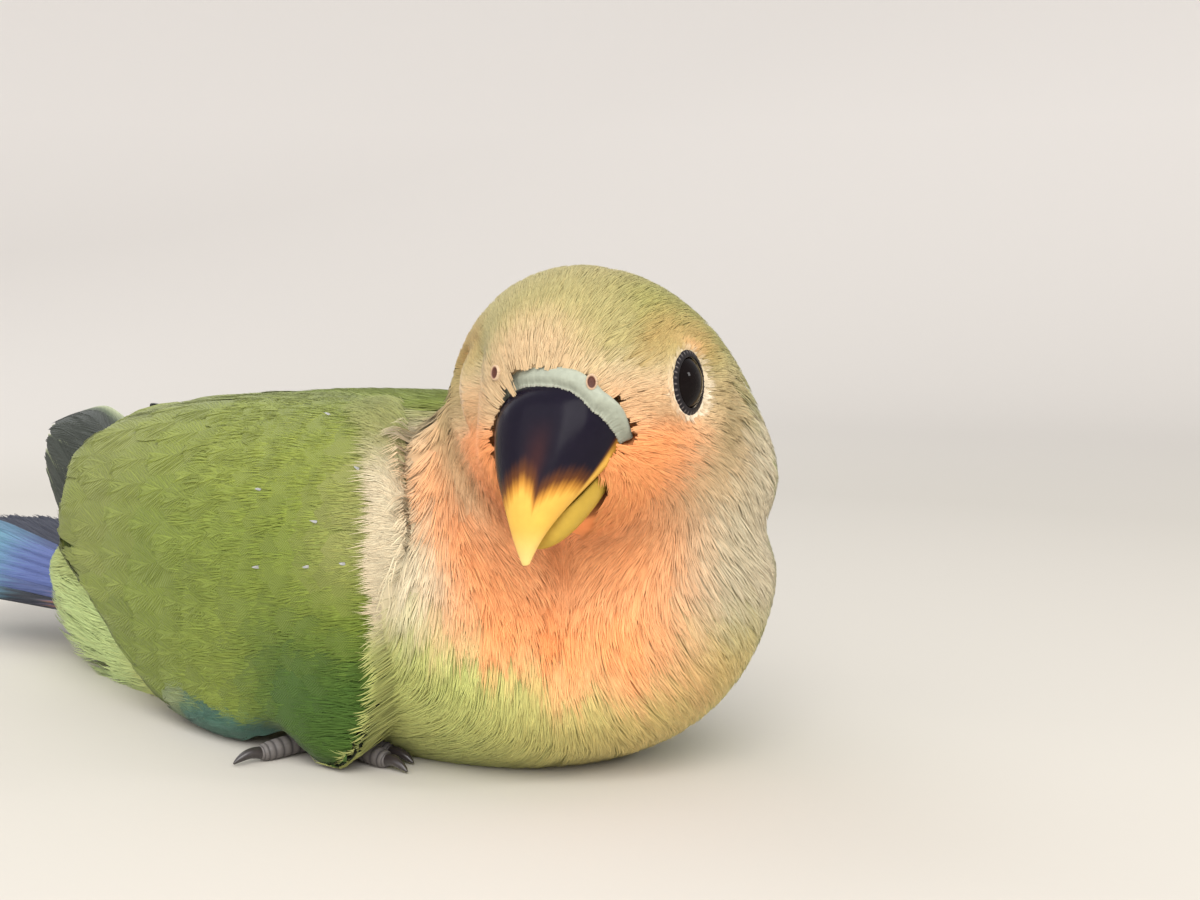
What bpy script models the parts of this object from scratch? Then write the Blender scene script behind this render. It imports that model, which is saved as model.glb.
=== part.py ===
"""A young peach-faced lovebird at life size, crouched on its belly with its head turned to its right.

The bird faces -Y and +Z is up. The floor is z = 0, where the belly and the feet have their flats.
Blender's units are metres here, and the tables below are in millimetres, turned to metres by MM.
"""

import math
from dataclasses import dataclass

import bmesh
import bpy
import numpy as np
from mathutils import Matrix, Vector

MM = 0.001

# Driving dimensions, in millimetres
GAP = 0.32  # between a piece and the piece it is cut to fit
HEAD_CENTRE = (-7.1, -5.6, 40.4)
HEAD_YAW = 75.0  # degrees that the head is turned to the bird's right
HEAD_ROLL = 3.0  # degrees that the crown leans to the bird's right
EYE_RADIUS = 3.5
EYE_PLACE = (3.2, 10.5, 1.5)  # forward, to the side and up from the head's centre
WING_THICKNESS = 2.2
PRIMARY_THICKNESS = 1.1
TAIL_THICKNESS = 1.1
TAIL_BASE_Y = 84.0
TAIL_LENGTH = 46.0
TARSUS_RADIUS = 1.5
TOE_RADIUS = 1.15
CLAW_LENGTH = 3.6
ORIGIN_SHIFT = (0.0, -55.05, 0.0)  # moves the bird so that the origin is under its middle

BODY_ROWS = 35
BODY_COLUMNS = 26


@dataclass(frozen=True)
class Station:
    """One cross section of a loft: an oval with its own upper and lower height.

    The centre is (x, y, z). Yaw turns the section's front to the bird's right, and pitch
    raises it. The sizes are the half width and the heights above and below the centre.
    A squareness of 2 is a plain oval, and more is nearer to a rounded box. The lower half
    has its own, because the belly spreads where it lies on the floor.
    """

    name: str
    centre: tuple
    yaw: float
    pitch: float
    half_width: float
    above: float
    below: float
    squareness: float = 2.0
    lower_squareness: float = 2.0


BODY = (
    Station("face pole", (-19.1, -8.8, 38.2), 75, -8, 0.0, 0.0, 0.0),
    Station("lores", (-17.7, -8.4, 38.8), 75, -6, 8.0, 8.2, 7.6),
    Station("eyes", (-12.7, -7.1, 39.8), 75, -2, 12.3, 12.9, 12.6),
    Station("crown", (-6.7, -4.6, 40.0), 74, 6, 16.0, 14.2, 16.5),
    Station("nape", (-3.2, -3.4, 36.0), 60, 24, 17.8, 13.8, 20.2),
    Station("ruff", (-1.2, -0.2, 30.0), 41, 34, 21.6, 14.2, 25.2, 2.0, 2.2),
    Station("shoulders", (0.4, 7.0, 24.5), 20, 27, 22.8, 17.4, 26.2, 2.2, 2.35),
    Station("keel", (0.2, 18.5, 20.5), 2, 10, 21.4, 19.8, 23.4, 2.4, 2.6),
    Station("middle", (0.0, 33.0, 20.0), 0, 0, 21.0, 20.0, 23.2, 2.3, 2.8),
    Station("loins", (0.0, 50.0, 20.0), 0, 0, 18.6, 19.0, 23.6, 2.3, 3.6),
    Station("rump", (0.0, 66.0, 19.0), 0, 0, 15.2, 15.6, 23.0, 2.2, 4.4),
    Station("tail coverts", (0.0, 82.0, 15.2), 0, -2, 12.4, 10.0, 16.4, 2.1, 3.2),
    Station("last coverts", (0.0, 96.0, 12.8), 0, -4, 7.6, 4.8, 8.8),
    Station("rear pole", (0.0, 101.5, 12.2), 0, -4, 0.0, 0.0, 0.0),
)

# The upper bill from its base to its tip, in the head's own frame: forward, left, up
UPPER_BILL = (
    Station("root", (6.4, 0.0, 1.0), 0, -30, 5.8, 5.4, 2.2),
    Station("base", (9.0, 0.0, -2.1), 0, -34, 6.5, 6.4, 2.7, 2.2),
    Station("bend", (12.6, 0.0, -5.4), 0, -43, 6.1, 7.0, 3.0, 2.2),
    Station("hook", (15.0, 0.0, -8.4), 0, -55, 4.2, 5.6, 2.6, 2.1),
    Station("point", (16.4, 0.0, -11.6), 0, -70, 2.3, 3.2, 1.9),
    Station("tip", (15.6, 0.0, -15.2), 0, -84, 0.5, 0.8, 0.6),
)
LOWER_BILL = (
    Station("hinge", (4.0, 0.0, -6.0), 0, -38, 4.8, 2.4, 3.2),
    Station("scoop", (8.0, 0.0, -9.2), 0, -30, 5.0, 3.4, 4.0, 2.2),
    Station("front", (11.2, 0.0, -10.8), 0, -20, 4.0, 3.0, 3.4, 2.2),
    Station("lip", (13.2, 0.0, -11.2), 0, -14, 2.4, 1.9, 2.0, 2.2),
)
CERE = (
    Station("under forehead", (7.6, 0.0, 0.6), 0, -30, 6.3, 5.2, 2.0),
    Station("bulge", (8.6, 0.0, -0.4), 0, -32, 7.1, 6.7, 2.4, 2.2),
    Station("edge", (9.2, 0.0, -1.2), 0, -34, 6.8, 6.9, 2.6, 2.2),
)

# The thin cuts that part the head from the neck and the neck from the trunk: a point on
# each plane, and the yaw and pitch that it faces
HEAD_CUT = ((-3.2, -4.6, 33.0), (45, 45))
NECK_CUT = ((0.0, 4.5, 26.0), (22, 34))

# Each wing patch's place along the bird, its half width, the height of its widest line, the
# oval's height above that line, the angle from the top where the patch begins, and how far
# in and at what height its lower edge lies
WING = (
    (10.0, 18.8, 21.0, 17.0, 74, 19.0, 13.0),
    (14.0, 20.4, 20.0, 19.2, 46, 20.6, 2.6),
    (20.0, 21.8, 20.0, 20.2, 24, 21.8, 0.6),
    (26.5, 22.1, 20.0, 20.2, 17, 21.8, 3.6),
    (33.0, 22.0, 20.0, 20.2, 15, 21.6, 1.2),
    (42.0, 21.4, 20.0, 20.0, 14, 20.8, 0.8),
    (51.0, 20.2, 20.2, 19.6, 14, 19.6, 2.2),
    (60.0, 18.8, 20.4, 18.8, 18, 18.0, 6.4),
    (69.0, 17.2, 20.6, 18.0, 26, 16.8, 12.4),
    (76.0, 16.0, 20.8, 17.2, 38, 15.9, 17.0),
    (79.5, 15.0, 21.0, 16.8, 62, 15.0, 20.0),
)
PRIMARIES = (
    (58.0, 15.9, 20.0, 15.8, 56, 15.6, 15.4),
    (65.0, 15.0, 20.2, 15.8, 44, 14.6, 13.6),
    (72.0, 13.9, 20.6, 15.8, 34, 13.4, 13.0),
    (79.0, 12.9, 21.0, 15.2, 27, 12.5, 15.4),
    (85.0, 12.0, 24.0, 12.8, 22, 11.8, 21.0),
    (89.0, 11.3, 27.6, 9.0, 26, 11.2, 26.2),
    (91.8, 10.8, 30.6, 5.0, 44, 10.8, 30.2),
)

TAIL_BASE_Z = 6.8
TAIL_BASE_WIDTH = 5.6
TAIL_WIDTH = 12.6
TAIL_ARCH = 2.6
TAIL_RISE = 5.5  # degrees
TAIL_ROLL = 16.0  # degrees that the tail's left edge is up
TAIL_BASE_TURN = 0.4  # share of the roll that the tail has at its base

# The left leg. A toe runs from the foot's middle to its last joint
SHANK_PLACE = (14.4, 38.0, 3.9)
SHANK_RADII = (3.6, 6.4, 3.8)
TARSUS = ((15.0, 36.0, 3.2), (16.2, 30.0, 2.5), (16.9, 24.9, 1.7))
PAD_PLACE = (16.8, 24.6, 1.6)
PAD_RADII = (2.1, 2.4, 1.6)
TOES = (
    ((16.3, 25.3, 1.5), (15.2, 27.0, 1.3), (13.8, 29.0, 1.0)),
    ((16.4, 23.9, 1.5), (16.2, 20.4, 1.4), (15.8, 16.4, 1.0)),
    ((17.3, 23.8, 1.5), (17.9, 19.4, 1.5), (18.1, 14.4, 1.0)),
    ((17.6, 25.0, 1.5), (20.8, 25.8, 1.3), (24.6, 26.4, 1.0)),
)


def smooth_path(values, samples):
    """Values read along a natural cubic spline through the given ones, at even spacing.

    The ends are mirrored, so that a loft closes round at its poles.
    """
    values = np.asarray(values, float)
    count = len(values)
    system = np.zeros((count, count))
    right = np.zeros((count, values.shape[1]))
    for i in range(1, count - 1):
        system[i, i - 1 : i + 2] = (1, 4, 1)
        right[i] = 3 * (values[i + 1] - values[i - 1])
    system[0, :2] = (2, 1)
    right[0] = 3 * (values[1] - values[0])
    system[-1, -2:] = (1, 2)
    right[-1] = 3 * (values[-1] - values[-2])
    slopes = np.linalg.solve(system, right)
    at = np.linspace(0, count - 1, samples)
    low = np.minimum(at.astype(int), count - 2)
    t = (at - low)[:, None]
    first, second = values[low], values[low + 1]
    return (
        first * (2 * t**3 - 3 * t**2 + 1)
        + second * (3 * t**2 - 2 * t**3)
        + slopes[low] * (t**3 - 2 * t**2 + t)
        + slopes[low + 1] * (t**3 - t**2)
    )


def with_mirrored_poles(rows):
    """The stations' rows with one more at each closed end, its sizes turned negative."""
    sizes = slice(5, 8)
    first, last = rows[1].copy(), rows[-2].copy()
    first[sizes] *= -1
    last[sizes] *= -1
    return np.vstack([first, rows, last])


def station_rows(stations, samples, grow=0.0, poles=False):
    """Every value of the stations, read at so many places along the loft."""
    rows = np.array(
        [
            [*s.centre, s.yaw, s.pitch, s.half_width, s.above, s.below]
            + [s.squareness, s.lower_squareness]
            for s in stations
        ],
        float,
    )
    if poles:
        ends = with_mirrored_poles(rows)
        inner = samples - 1
        dense = smooth_path(ends, (len(ends) - 1) * inner + 1)
        rows = dense[inner:-inner:len(rows) - 1]
    else:
        rows = smooth_path(rows, samples)
        rows[:, 5:8] += grow
    return rows


def section_points(row, columns):
    """The points of one oval section, anticlockwise from its top, in millimetres."""
    yaw, pitch = math.radians(row[3]), math.radians(row[4])
    side = np.array([math.cos(yaw), -math.sin(yaw), 0.0])
    up = np.array(
        [math.sin(pitch) * math.sin(yaw), math.sin(pitch) * math.cos(yaw), math.cos(pitch)]
    )
    angle = np.linspace(0, 2 * math.pi, columns, endpoint=False)
    power = 2 / np.where(np.cos(angle) > 0, row[8], row[9])
    across = np.sign(np.sin(angle)) * np.abs(np.sin(angle)) ** power * row[5]
    high = np.sign(np.cos(angle)) * np.abs(np.cos(angle)) ** power
    high *= np.where(np.cos(angle) > 0, row[6], row[7])
    return row[:3] + across[:, None] * side + high[:, None] * up


def new_object(name, points, faces, material=None, transform=None):
    """A mesh object in the bird's collection, from points in millimetres."""
    mesh = bpy.data.meshes.new(name)
    mesh.from_pydata([tuple(p * MM) for p in np.asarray(points)], [], faces)
    if transform is not None:
        mesh.transform(transform)
    shell = bmesh.new()
    shell.from_mesh(mesh)
    bmesh.ops.remove_doubles(shell, verts=shell.verts, dist=1e-6)
    bmesh.ops.recalc_face_normals(shell, faces=shell.faces)
    shell.to_mesh(mesh)
    shell.free()
    obj = bpy.data.objects.new(name, mesh)
    BIRD.objects.link(obj)
    if material:
        mesh.materials.append(material)
    mesh.shade_smooth()
    return obj


def loft(name, rows, columns, material=None, transform=None):
    """A closed loft through the rows' sections. A row with no width is a pole."""
    rings = [section_points(row, columns) for row in rows]
    points = np.vstack(rings)
    faces = []
    for i in range(len(rings) - 1):
        for j in range(columns):
            k = (j + 1) % columns
            low, high = i * columns, (i + 1) * columns
            faces.append((low + j, low + k, high + k, high + j))
    last = (len(rings) - 1) * columns
    for first, row in ((0, rows[0]), (last, rows[-1])):
        if row[5] > 1e-6:
            faces.append(tuple(first + j for j in range(columns)))
    return new_object(name, points, faces, material, transform)


def principled(name, colour, roughness=0.8, metallic=0.0):
    """A plain material for one part."""
    material = bpy.data.materials.new(name)
    material.use_nodes = True
    shader = material.node_tree.nodes["Principled BSDF"]
    shader.inputs["Base Color"].default_value = (*colour, 1.0)
    shader.inputs["Roughness"].default_value = roughness
    shader.inputs["Metallic"].default_value = metallic
    return material


def as_cutter(obj):
    """Marks an object as a helper that the build leaves out."""
    BIRD.objects.unlink(obj)
    CUTTERS.objects.link(obj)
    obj.hide_render = True
    obj.display_type = "WIRE"
    return obj


def boolean(obj, other, operation):
    """A Boolean modifier on obj, applied at once so that the next cut reads its result."""
    modifier = obj.modifiers.new(operation.lower(), "BOOLEAN")
    modifier.operation = operation
    modifier.solver = "EXACT"
    modifier.object = other
    apply_modifiers(obj)
    return obj


def apply_modifiers(obj):
    """Replaces the object's mesh by the one its modifiers make."""
    bpy.context.view_layer.update()
    graph = bpy.context.evaluated_depsgraph_get()
    mesh = bpy.data.meshes.new_from_object(obj.evaluated_get(graph))
    obj.modifiers.clear()
    obj.data = mesh
    return obj


def keep_side(obj, point, normal):
    """Cuts the object's mesh with a plane, keeps what the normal points away from, and caps it."""
    shell = bmesh.new()
    shell.from_mesh(obj.data)
    result = bmesh.ops.bisect_plane(
        shell,
        geom=shell.verts[:] + shell.edges[:] + shell.faces[:],
        plane_co=Vector(point) * MM,
        plane_no=normal,
        clear_outer=True,
        dist=1e-7,
    )
    rim = [e for e in result["geom_cut"] if isinstance(e, bmesh.types.BMEdge)]
    bmesh.ops.edgenet_fill(shell, edges=rim)
    bmesh.ops.triangulate(shell, faces=[f for f in shell.faces if len(f.verts) > 4])
    bmesh.ops.recalc_face_normals(shell, faces=shell.faces)
    shell.to_mesh(obj.data)
    shell.free()
    obj.data.shade_smooth()
    return obj


def copy_of(obj, name, material=None):
    """Another object in the bird's collection with its own copy of the mesh."""
    twin = bpy.data.objects.new(name, obj.data.copy())
    twin.matrix_world = obj.matrix_world.copy()
    BIRD.objects.link(twin)
    if material:
        twin.data.materials.clear()
        twin.data.materials.append(material)
    return twin


def facing(yaw, pitch):
    """The direction that a section with this yaw and pitch, in degrees, faces."""
    yaw, pitch = math.radians(yaw), math.radians(pitch)
    return Vector(
        (
            -math.sin(yaw) * math.cos(pitch),
            -math.cos(yaw) * math.cos(pitch),
            math.sin(pitch),
        )
    )


def head_matrix():
    """The head's frame in metres: x forward, y to the bird's left and z up."""
    forward = facing(HEAD_YAW, 0)
    up = Vector((0, 0, 1))
    left = up.cross(forward)
    turn = Matrix((forward, left, up)).transposed().to_4x4()
    roll = Matrix.Rotation(math.radians(HEAD_ROLL), 4, "X")
    return Matrix.Translation(Vector(HEAD_CENTRE) * MM) @ turn @ roll


def head_loft(name, stations, samples, columns, material, grow=0.0):
    """A loft given in the head's frame, where a section faces +X at yaw 0."""
    rows = station_rows(stations, samples, grow)
    quarter = Matrix.Rotation(math.radians(90), 4, "Z")
    centres = rows[:, :3].copy()
    rows[:, 0], rows[:, 1] = centres[:, 1], -centres[:, 0]
    rows[0, :3] -= np.array(facing(*rows[0, 3:5])) * grow
    rows[-1, :3] += np.array(facing(*rows[-1, 3:5])) * grow
    return loft(name, rows, columns, material, head_matrix() @ quarter)


BIRD = bpy.data.collections.new("peach_faced_lovebird")
CUTTERS = bpy.data.collections.new("cutters")


def start():
    """Empties the scene and links the two collections."""
    for obj in list(bpy.data.objects):
        bpy.data.objects.remove(obj)
    for collection in (BIRD, CUTTERS):
        bpy.context.scene.collection.children.link(collection)


def ellipsoid(name, centre, radii, segments, rings, material=None):
    """A UV sphere scaled to three radii, in millimetres."""
    bpy.ops.mesh.primitive_uv_sphere_add(segments=segments, ring_count=rings, radius=1)
    obj = bpy.context.object
    obj.name = name
    obj.data.transform(Matrix.Diagonal((*[r * MM for r in radii], 1)))
    obj.data.transform(Matrix.Translation(Vector(centre) * MM))
    for collection in list(obj.users_collection):
        collection.objects.unlink(obj)
    BIRD.objects.link(obj)
    if material:
        obj.data.materials.append(material)
    obj.data.shade_smooth()
    return obj


def build_eyes(material):
    """Two eyeballs in the head. Returns the cutters of their sockets."""
    forward, across, up = EYE_PLACE
    sockets = []
    for name, side in (("eye_left", 1), ("eye_right", -1)):
        place = (forward, side * across, up)
        eye = ellipsoid(name, place, (EYE_RADIUS,) * 3, 16, 9, material)
        socket = ellipsoid(name + "_socket", place, (EYE_RADIUS + GAP,) * 3, 16, 9)
        for ball in (eye, socket):
            ball.data.transform(head_matrix())
        sockets.append(as_cutter(socket))
    return sockets


def build_bill(horn, wax):
    """The upper and lower bill and the cere. Returns the cutters of their roots in the head."""
    head_loft("bill_upper", UPPER_BILL, 13, 16, horn)
    lower = head_loft("bill_lower", LOWER_BILL, 8, 16, horn)
    cere = head_loft("cere", CERE, 5, 16, wax)
    room_upper = as_cutter(head_loft("room_upper", UPPER_BILL, 13, 16, None, GAP))
    room_lower = as_cutter(head_loft("room_lower", LOWER_BILL, 8, 16, None, GAP))
    room_cere = as_cutter(head_loft("room_cere", CERE, 5, 16, None, GAP))
    boolean(lower, room_upper, "DIFFERENCE")
    boolean(cere, room_upper, "DIFFERENCE")
    return [room_upper, room_lower, room_cere]


def build_body(material):
    """The feathered body as one closed loft, cut flat where it rests on the floor."""
    rows = station_rows(BODY, BODY_ROWS, poles=True)
    body = loft("body", rows, BODY_COLUMNS, material)
    return keep_side(body, (0, 0, 0), (0, 0, -1))


def part_body(body):
    """The head, neck and trunk, each a length of the body between thin plane cuts."""
    pieces = {"head": body}
    for name, cut in (("neck", HEAD_CUT), ("trunk", NECK_CUT)):
        front = Vector(cut[0])
        normal = facing(*cut[1])
        before = list(pieces)[-1]
        pieces[name] = copy_of(pieces[before], name)
        keep_side(pieces[before], front + normal * GAP / 2, -normal)
        keep_side(pieces[name], front - normal * GAP / 2, normal)
    pieces["head"].name = "head"
    return pieces


def side_patch(name, table, side, along, across):
    """An open curved patch at one side of the bird, from rows of a table.

    A section comes down an oval to the patch's widest line and then to its lower edge, where
    it turns in under the bird.
    """
    rows = smooth_path(table, along)
    points = []
    for y, half_width, middle, above, first, low_width, low_z in rows:
        for share in np.linspace(0, 1, across):
            if share < 0.5:
                angle = math.radians(first + (90 - first) * share * 2)
                x, z = half_width * math.sin(angle), middle + above * math.cos(angle)
            else:
                angle = math.radians(90 * (share * 2 - 1))
                x = low_width + (half_width - low_width) * math.cos(angle)
                z = middle - (middle - low_z) * math.sin(angle)
            points.append((side * x, y, z))
    faces = []
    for i in range(along - 1):
        for j in range(across - 1):
            low, high = i * across + j, (i + 1) * across + j
            faces.append((low, low + 1, high + 1, high)[:: side])
    mesh = bpy.data.meshes.new(name)
    mesh.from_pydata([tuple(np.array(p) * MM) for p in points], [], faces)
    obj = bpy.data.objects.new(name, mesh)
    BIRD.objects.link(obj)
    mesh.shade_smooth()
    return obj


def thicken(obj, thickness, offset, rim=0.35):
    """Solidify, with the patch's own edge thinner than its middle."""
    shell = bmesh.new()
    shell.from_mesh(obj.data)
    edge = [v.index for v in shell.verts if v.is_boundary]
    inner = [v.index for v in shell.verts if not v.is_boundary]
    shell.free()
    group = obj.vertex_groups.new(name="thickness")
    group.add(edge, rim, "REPLACE")
    group.add(inner, 1.0, "REPLACE")
    modifier = obj.modifiers.new("thickness", "SOLIDIFY")
    modifier.thickness = thickness * MM
    modifier.offset = offset
    modifier.vertex_group = "thickness"
    modifier.use_even_offset = False
    return obj


def lie_on(patch, body, room):
    """A Shrinkwrap that lifts the patch to at least so far outside the body."""
    lie = patch.modifiers.new("lie on the body", "SHRINKWRAP")
    lie.target = body
    lie.wrap_method = "NEAREST_SURFACEPOINT"
    lie.wrap_mode = "OUTSIDE"
    lie.offset = room * MM


def build_wing(side, name, body, material):
    """A folded wing: its coverts and inner flight feathers as one thick curved plate."""
    wing = side_patch(name, WING, side, 21, 10)
    lie_on(wing, body, GAP * 2.8)
    thicken(wing, WING_THICKNESS, 1.0)
    apply_modifiers(wing)
    wing.data.materials.append(material)


def build_primaries(side, name, body, material):
    """The long outer flight feathers, which reach past the rest of the wing."""
    blade = side_patch(name, PRIMARIES, side, 12, 9)
    lie_on(blade, body, GAP * 1.3)
    thicken(blade, PRIMARY_THICKNESS, 1.0, 0.6)
    apply_modifiers(blade)
    blade.data.materials.append(material)


def tail_patch(name, room=0.0):
    """The tail's open arched fan, longest in the middle."""
    along, across = 8, 17
    points, faces = [], []
    roll = math.radians(TAIL_ROLL)
    for s in np.linspace(-room / TAIL_LENGTH, 1, along):
        for t in np.linspace(-1, 1, across):
            feather_tip = 1.2 * abs(math.sin(t * math.pi * 3)) * max(s, 0) ** 4
            length = TAIL_LENGTH * (1 - 0.24 * abs(t) ** 1.6) + room - feather_tip
            width = TAIL_BASE_WIDTH + (TAIL_WIDTH - TAIL_BASE_WIDTH) * max(s, 0) ** 0.8 + room
            x = width * t * math.cos(roll)
            turned = TAIL_BASE_TURN + (1 - TAIL_BASE_TURN) * max(s, 0)
            high = TAIL_ARCH * (1 - t * t) + width * t * math.sin(roll) * turned
            rise = math.tan(math.radians(TAIL_RISE)) * s * length
            points.append((x, TAIL_BASE_Y + s * length, TAIL_BASE_Z + high + rise))
    for i in range(along - 1):
        for j in range(across - 1):
            low, high = i * across + j, (i + 1) * across + j
            faces.append((low, low + 1, high + 1, high))
    mesh = bpy.data.meshes.new(name)
    mesh.from_pydata([tuple(np.array(p) * MM) for p in points], [], faces)
    obj = bpy.data.objects.new(name, mesh)
    BIRD.objects.link(obj)
    mesh.shade_smooth()
    return obj


def build_tail(material):
    """The tail's fan. Returns the cutter of its slot in the tail coverts."""
    tail = tail_patch("tail")
    thicken(tail, TAIL_THICKNESS, 0.0, 0.7)
    slot = tail_patch("tail_slot", GAP)
    thicken(slot, TAIL_THICKNESS + 2 * GAP, 0.0, 1.0)
    for obj in (tail, slot):
        apply_modifiers(obj)
    tail.data.materials.append(material)
    return as_cutter(slot)


def tube(name, points, radii, sides=6, smooth=True):
    """A closed tapering tube along points in millimetres, made as a bevelled curve."""
    path = smooth_path(points, 3 * (len(points) - 1) + 1) if smooth else np.array(points)
    sizes = np.interp(
        np.linspace(0, 1, len(path)), np.linspace(0, 1, len(radii)), radii
    )
    curve = bpy.data.curves.new(name, "CURVE")
    curve.dimensions = "3D"
    curve.bevel_depth = MM
    curve.bevel_resolution = sides // 2 - 2
    curve.use_fill_caps = True
    spline = curve.splines.new("POLY")
    spline.points.add(len(path) - 1)
    for point, place, size in zip(spline.points, path, sizes):
        point.co = (*(place * MM), 1)
        point.radius = size
    guide = bpy.data.objects.new(name, curve)
    BIRD.objects.link(guide)
    bpy.context.view_layer.update()
    graph = bpy.context.evaluated_depsgraph_get()
    mesh = bpy.data.meshes.new_from_object(guide.evaluated_get(graph))
    bpy.data.objects.remove(guide)
    shell = bmesh.new()
    shell.from_mesh(mesh)
    bmesh.ops.remove_doubles(shell, verts=shell.verts, dist=1e-6)
    bmesh.ops.recalc_face_normals(shell, faces=shell.faces)
    shell.to_mesh(mesh)
    shell.free()
    obj = bpy.data.objects.new(name, mesh)
    BIRD.objects.link(obj)
    return obj


def mirrored(points, side):
    """The points of the left side, or of the right one if the side is -1."""
    return [(side * x, y, z) for x, y, z in points]


def build_foot(side, name, grow=0.0):
    """A foot with its four toes as one solid, or the room it takes where it is grown."""
    pad = [r + grow for r in PAD_RADII]
    foot = ellipsoid(name, mirrored([PAD_PLACE], side)[0], pad, 12, 8)
    thick = (TARSUS_RADIUS + grow, TARSUS_RADIUS * 0.9 + grow)
    tubes = [tube("tarsus", mirrored(TARSUS, side), thick)]
    for toe in TOES:
        radii = [TOE_RADIUS * share + grow for share in (1.1, 1.0, 0.9)]
        tubes.append(tube("toe", longer(mirrored(toe, side), grow), radii))
    for joined in tubes:
        boolean(foot, joined, "UNION")
        bpy.data.objects.remove(joined)
    return foot


def longer(path, more):
    """The path with its last point moved on by so much."""
    end, before = Vector(path[-1]), Vector(path[-2])
    return [*path[:-1], tuple(end + (end - before).normalized() * more)]


def build_leg(side, label, feathers, skin, nails):
    """One leg's feathered shank, its foot with four toes, and their claws.

    Returns the cutters that make room for them in the trunk.
    """
    place = mirrored([SHANK_PLACE], side)[0]
    shank = ellipsoid(f"leg_{label}", place, SHANK_RADII, 12, 8, feathers)
    room = ellipsoid(f"leg_room_{label}", place, [r + GAP for r in SHANK_RADII], 12, 8)
    foot = build_foot(side, f"foot_{label}")
    boolean(foot, room, "DIFFERENCE")
    foot.data.materials.clear()
    foot.data.materials.append(skin)
    rooms = [room, build_foot(side, f"foot_room_{label}", GAP)]
    for number, toe in enumerate(TOES, 1):
        path = mirrored(toe, side)
        build_claw(path, f"claw_{label}_{number}", nails)
    rooms.append(build_claw(mirrored(TOES[0], side), f"claw_room_{label}", None, GAP))
    for obj in (shank, foot):
        keep_side(obj, (0, 0, 0), (0, 0, -1))
    return [as_cutter(cutter) for cutter in rooms]


def build_claw(toe, name, material, grow=0.0):
    """A curved claw that starts just past the toe's end and comes down to the floor."""
    end, before = Vector(toe[-1]), Vector(toe[-2])
    ahead = (end - before).normalized()
    first = end + ahead * (GAP + 0.05 - 2 * grow)
    reach = CLAW_LENGTH + 3 * grow
    points = []
    for share in (0.0, 0.4, 0.75, 1.0):
        lift = 0.55 * math.sin(share * math.pi * 0.9) - 0.5 * share
        points.append(first + ahead * reach * share + Vector((0, 0, lift)))
    radii = [radius + grow for radius in (0.72, 0.6, 0.42, 0.16)]
    claw = tube(name, [tuple(p) for p in points], radii, 6, False)
    if material:
        claw.data.materials.append(material)
        keep_side(claw, (0, 0, 0), (0, 0, -1))
    return claw


def main():
    """Builds the bird."""
    start()
    feathers = principled("body feathers", (0.62, 0.62, 0.28), 0.9)
    face = principled("face feathers", (0.86, 0.6, 0.38), 0.9)
    green = principled("wing feathers", (0.35, 0.5, 0.13), 0.8)
    dark = principled("flight feathers", (0.1, 0.12, 0.1), 0.7)
    blue = principled("tail feathers", (0.2, 0.36, 0.5), 0.7)
    horn = principled("bill horn", (0.12, 0.1, 0.11), 0.3)
    wax = principled("cere skin", (0.76, 0.8, 0.74), 0.6)
    glass = principled("eye", (0.02, 0.015, 0.015), 0.05)
    scales = principled("foot skin", (0.45, 0.43, 0.43), 0.6)
    nails = principled("claw horn", (0.15, 0.13, 0.13), 0.35)

    body = build_body(feathers)
    whole = as_cutter(copy_of(body, "whole_body"))
    for label, side in (("left", 1), ("right", -1)):
        build_wing(side, f"wing_{label}", whole, green)
        build_primaries(side, f"primaries_{label}", whole, dark)
    pieces = part_body(body)
    pieces["head"].data.materials.clear()
    pieces["head"].data.materials.append(face)
    for cutter in (*build_eyes(glass), *build_bill(horn, wax)):
        boolean(pieces["head"], cutter, "DIFFERENCE")
    boolean(pieces["trunk"], build_tail(blue), "DIFFERENCE")
    for label, side in (("left", 1), ("right", -1)):
        for cutter in build_leg(side, label, feathers, scales, nails):
            boolean(pieces["trunk"], cutter, "DIFFERENCE")
    for obj in BIRD.objects:
        obj.data.transform(Matrix.Translation(Vector(ORIGIN_SHIFT) * MM))


if __name__ == "__main__":
    main()
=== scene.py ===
"""The looks of a young rosy-faced lovebird that lies on its belly with its head turned.

Sizes and places are in millimetres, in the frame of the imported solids, and become metres where
a mesh is made. Colours are linear.
"""

import logging
import math
from collections.abc import Callable
from dataclasses import dataclass
from enum import Enum

import bpy
import numpy as np
from mathutils import Matrix, Vector
from mathutils.bvhtree import BVHTree


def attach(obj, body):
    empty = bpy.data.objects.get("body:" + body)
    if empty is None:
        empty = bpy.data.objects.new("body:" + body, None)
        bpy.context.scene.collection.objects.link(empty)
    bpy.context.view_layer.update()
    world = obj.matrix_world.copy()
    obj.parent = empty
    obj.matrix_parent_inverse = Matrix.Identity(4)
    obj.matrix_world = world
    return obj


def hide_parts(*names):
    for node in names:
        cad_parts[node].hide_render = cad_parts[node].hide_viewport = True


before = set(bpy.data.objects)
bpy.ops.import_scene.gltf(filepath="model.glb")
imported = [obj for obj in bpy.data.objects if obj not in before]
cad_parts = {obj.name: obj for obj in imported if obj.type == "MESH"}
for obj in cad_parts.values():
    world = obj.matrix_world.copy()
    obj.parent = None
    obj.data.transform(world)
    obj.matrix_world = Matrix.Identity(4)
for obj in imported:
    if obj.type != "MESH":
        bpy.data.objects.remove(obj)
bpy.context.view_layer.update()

MM = 0.001
FLOOR_GAP = 0.03
HEAD_PLACE = (-7.1, -60.65, 40.4)
HEAD_YAW = 75.0
HEAD_ROLL = 3.0
ORIGIN_SHIFT = (0.0, -55.05, 0.0)
EYE_PLACE = (3.2, 10.5, 1.5)
EYE_RADIUS = 3.5
NOSTRIL_PLACES = {"left": (10.4, 6.1, 2.0), "right": (8.5, -3.9, 3.4)}
LID_RADIUS = 3.35

Colour = tuple[float, float, float]

log = logging.getLogger("lovebird")


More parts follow.
